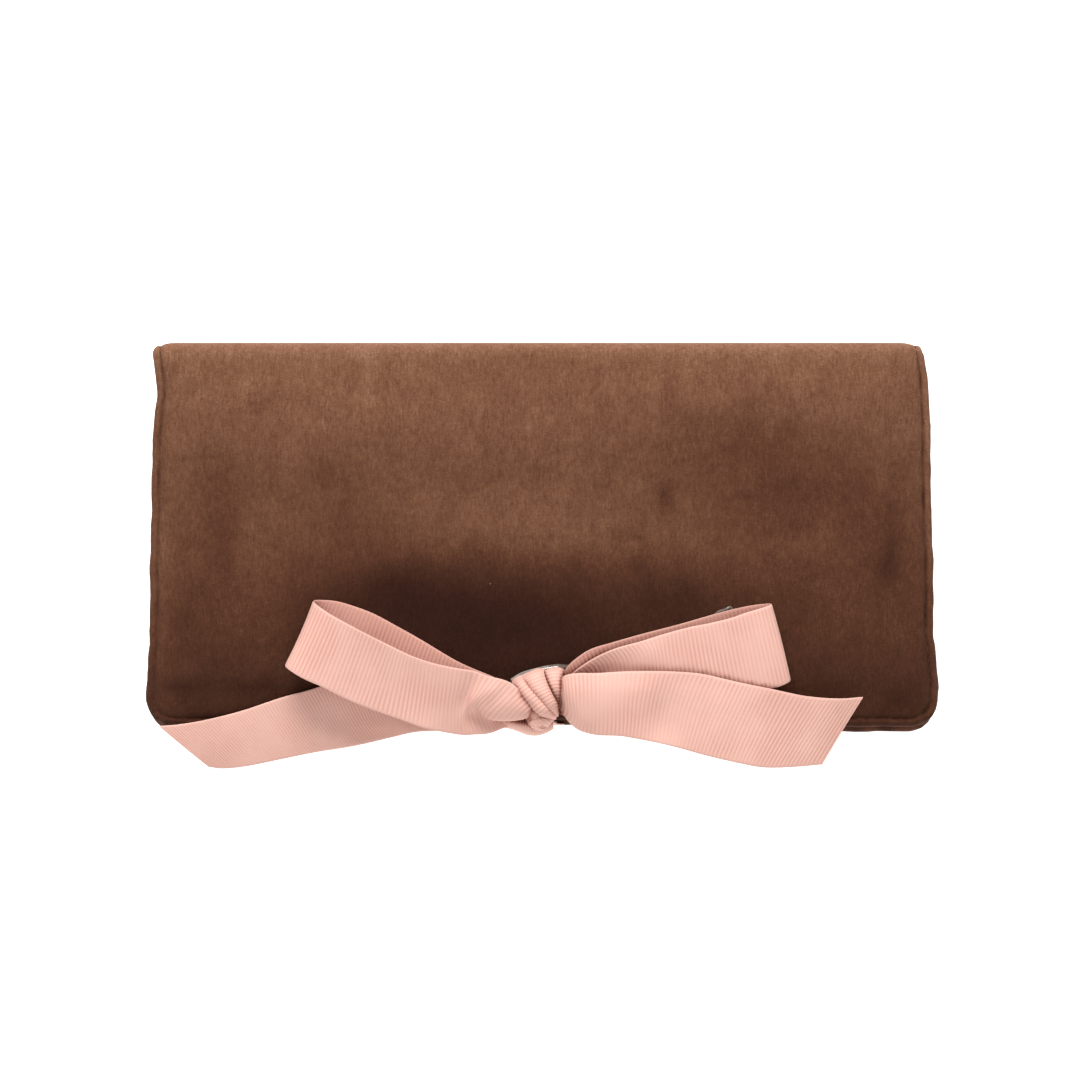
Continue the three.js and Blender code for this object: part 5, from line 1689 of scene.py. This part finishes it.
def add_snap(gilt):
    """The snap's three turned metal parts: stud on the panel, socket under the tab, domed cap on it."""
    for node, body, build, join in (("snap_stud", "back", stud_profile, loop_grid),
                                    ("snap_socket", "ring_bar", socket_profile, ring_grid),
                                    ("snap_cap", "ring_bar", cap_profile, loop_grid)):
        low, high = box_of(node)
        centre = ((low[0] + high[0]) / 2, (low[1] + high[1]) / 2, low[2])
        profile = build((high[0] - low[0]) / 2, high[2] - low[2])
        piece = join(f"{node}_metal", turned_rings(centre, profile))
        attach(dress(piece, gilt), body)
        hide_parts(node)


def stud_profile(radius, height):
    post = 1.75 * MM
    base = 0.6 * MM
    return [(0.1 * MM, 0), (radius, 0), (radius, base * 0.5), (radius - 0.5 * MM, base),
            (post + 0.9 * MM, base * 0.8), (post - 0.25 * MM, base), (post - 0.25 * MM, base + 0.5 * MM),
            (post, base + 0.9 * MM), (post - 0.3 * MM, height), (0.1 * MM, height)]


def socket_profile(radius, height):
    bore = 2.1 * MM
    return [(bore, 0.15 * MM), (bore + 0.5 * MM, 0), (radius - 0.9 * MM, 0), (radius, height * 0.6),
            (radius, height), (bore, height), (bore, 0.15 * MM)]


def cap_profile(radius, height):
    return [(0.1 * MM, 0), (radius, 0), (radius, height * 0.4), (radius - 0.35 * MM, height * 0.75),
            (radius - 0.9 * MM, height * 0.6), (radius - 1.3 * MM, height * 0.72),
            (radius * 0.45, height * 0.95), (0.1 * MM, height)]


# Ties from the two near edges up to the knot

TIE_CUT = 0.0125
# Each tie's width at its foot and at its head, as shares of its cut width.
FRONT_TIE_SHARES = (0.62, 0.56)
BACK_TIE_SHARES = (1.0, 0.66)


def add_tie(node, body, shares, ribbon):
    """A tie sewn in a panel's near edge, which narrows as it is drawn up into the knot."""
    low, high = box_of(node)
    foot, head = shares
    edge = NEAR_Y + float(near_draw(0, 0))
    rows = []
    for rise in np.linspace(0, 1, 6):
        half = TIE_CUT / 2 * (foot + (head - foot) * float(smooth_steps(0, 0.8, rise)))
        x = np.linspace(-half, half, POINTS_ACROSS) - 0.8 * MM * rise
        y = edge - 0.4 * MM * float(smooth_steps(0, 0.4, rise))
        z = low[2] + (high[2] - low[2]) * (0.15 + 0.85 * rise)
        rows.append(np.column_stack([x, np.full(POINTS_ACROSS, y), np.full(POINTS_ACROSS, z)]))
    piece = dress(ribbon_band(f"{node}_ribbon", np.array(rows)), ribbon)
    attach(piece, body)
    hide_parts(node)
    return piece


def add_ties(ribbon):
    """Both ties; the front one, which is part of the bow's ribbon, is given back."""
    front = add_tie("front_tie", "flap", FRONT_TIE_SHARES, ribbon)
    back = add_tie("back_tie", "back", BACK_TIE_SHARES, ribbon)
    return front


add_camera()
add_lights()
add_floor()
VELVET = velvet_finish()
RIBBON = ribbon_finish()
THREAD = plain_finish("brown_thread", (0.055, 0.024, 0.014), (0.085, 0.038, 0.023), 900, 0.8, 3000,
                      0.05 * MM, Specular_IOR_Level=0.1)
SATIN = satin_finish()
WADDING = plain_finish("white_wadding", (0.62, 0.6, 0.55), (0.8, 0.78, 0.74), 300, 0.95, 900, 0.4 * MM)
TAPE = tape_finish()
GILT = gilt_finish()
FILM = film_finish()
SEWING = Sewing(THREAD)
add_wraps(VELVET, WADDING, SEWING)
add_linings(SATIN)
add_pocket(BACK_FACE, "back", SATIN, TAPE, GILT, SEWING)
add_pocket(FLAP_FACE, "flap", SATIN, TAPE, GILT, SEWING)
add_ring_bar(VELVET, WADDING, GILT, SEWING)
FRONT_TIE = add_ties(RIBBON)
add_bow(RIBBON, FILM)
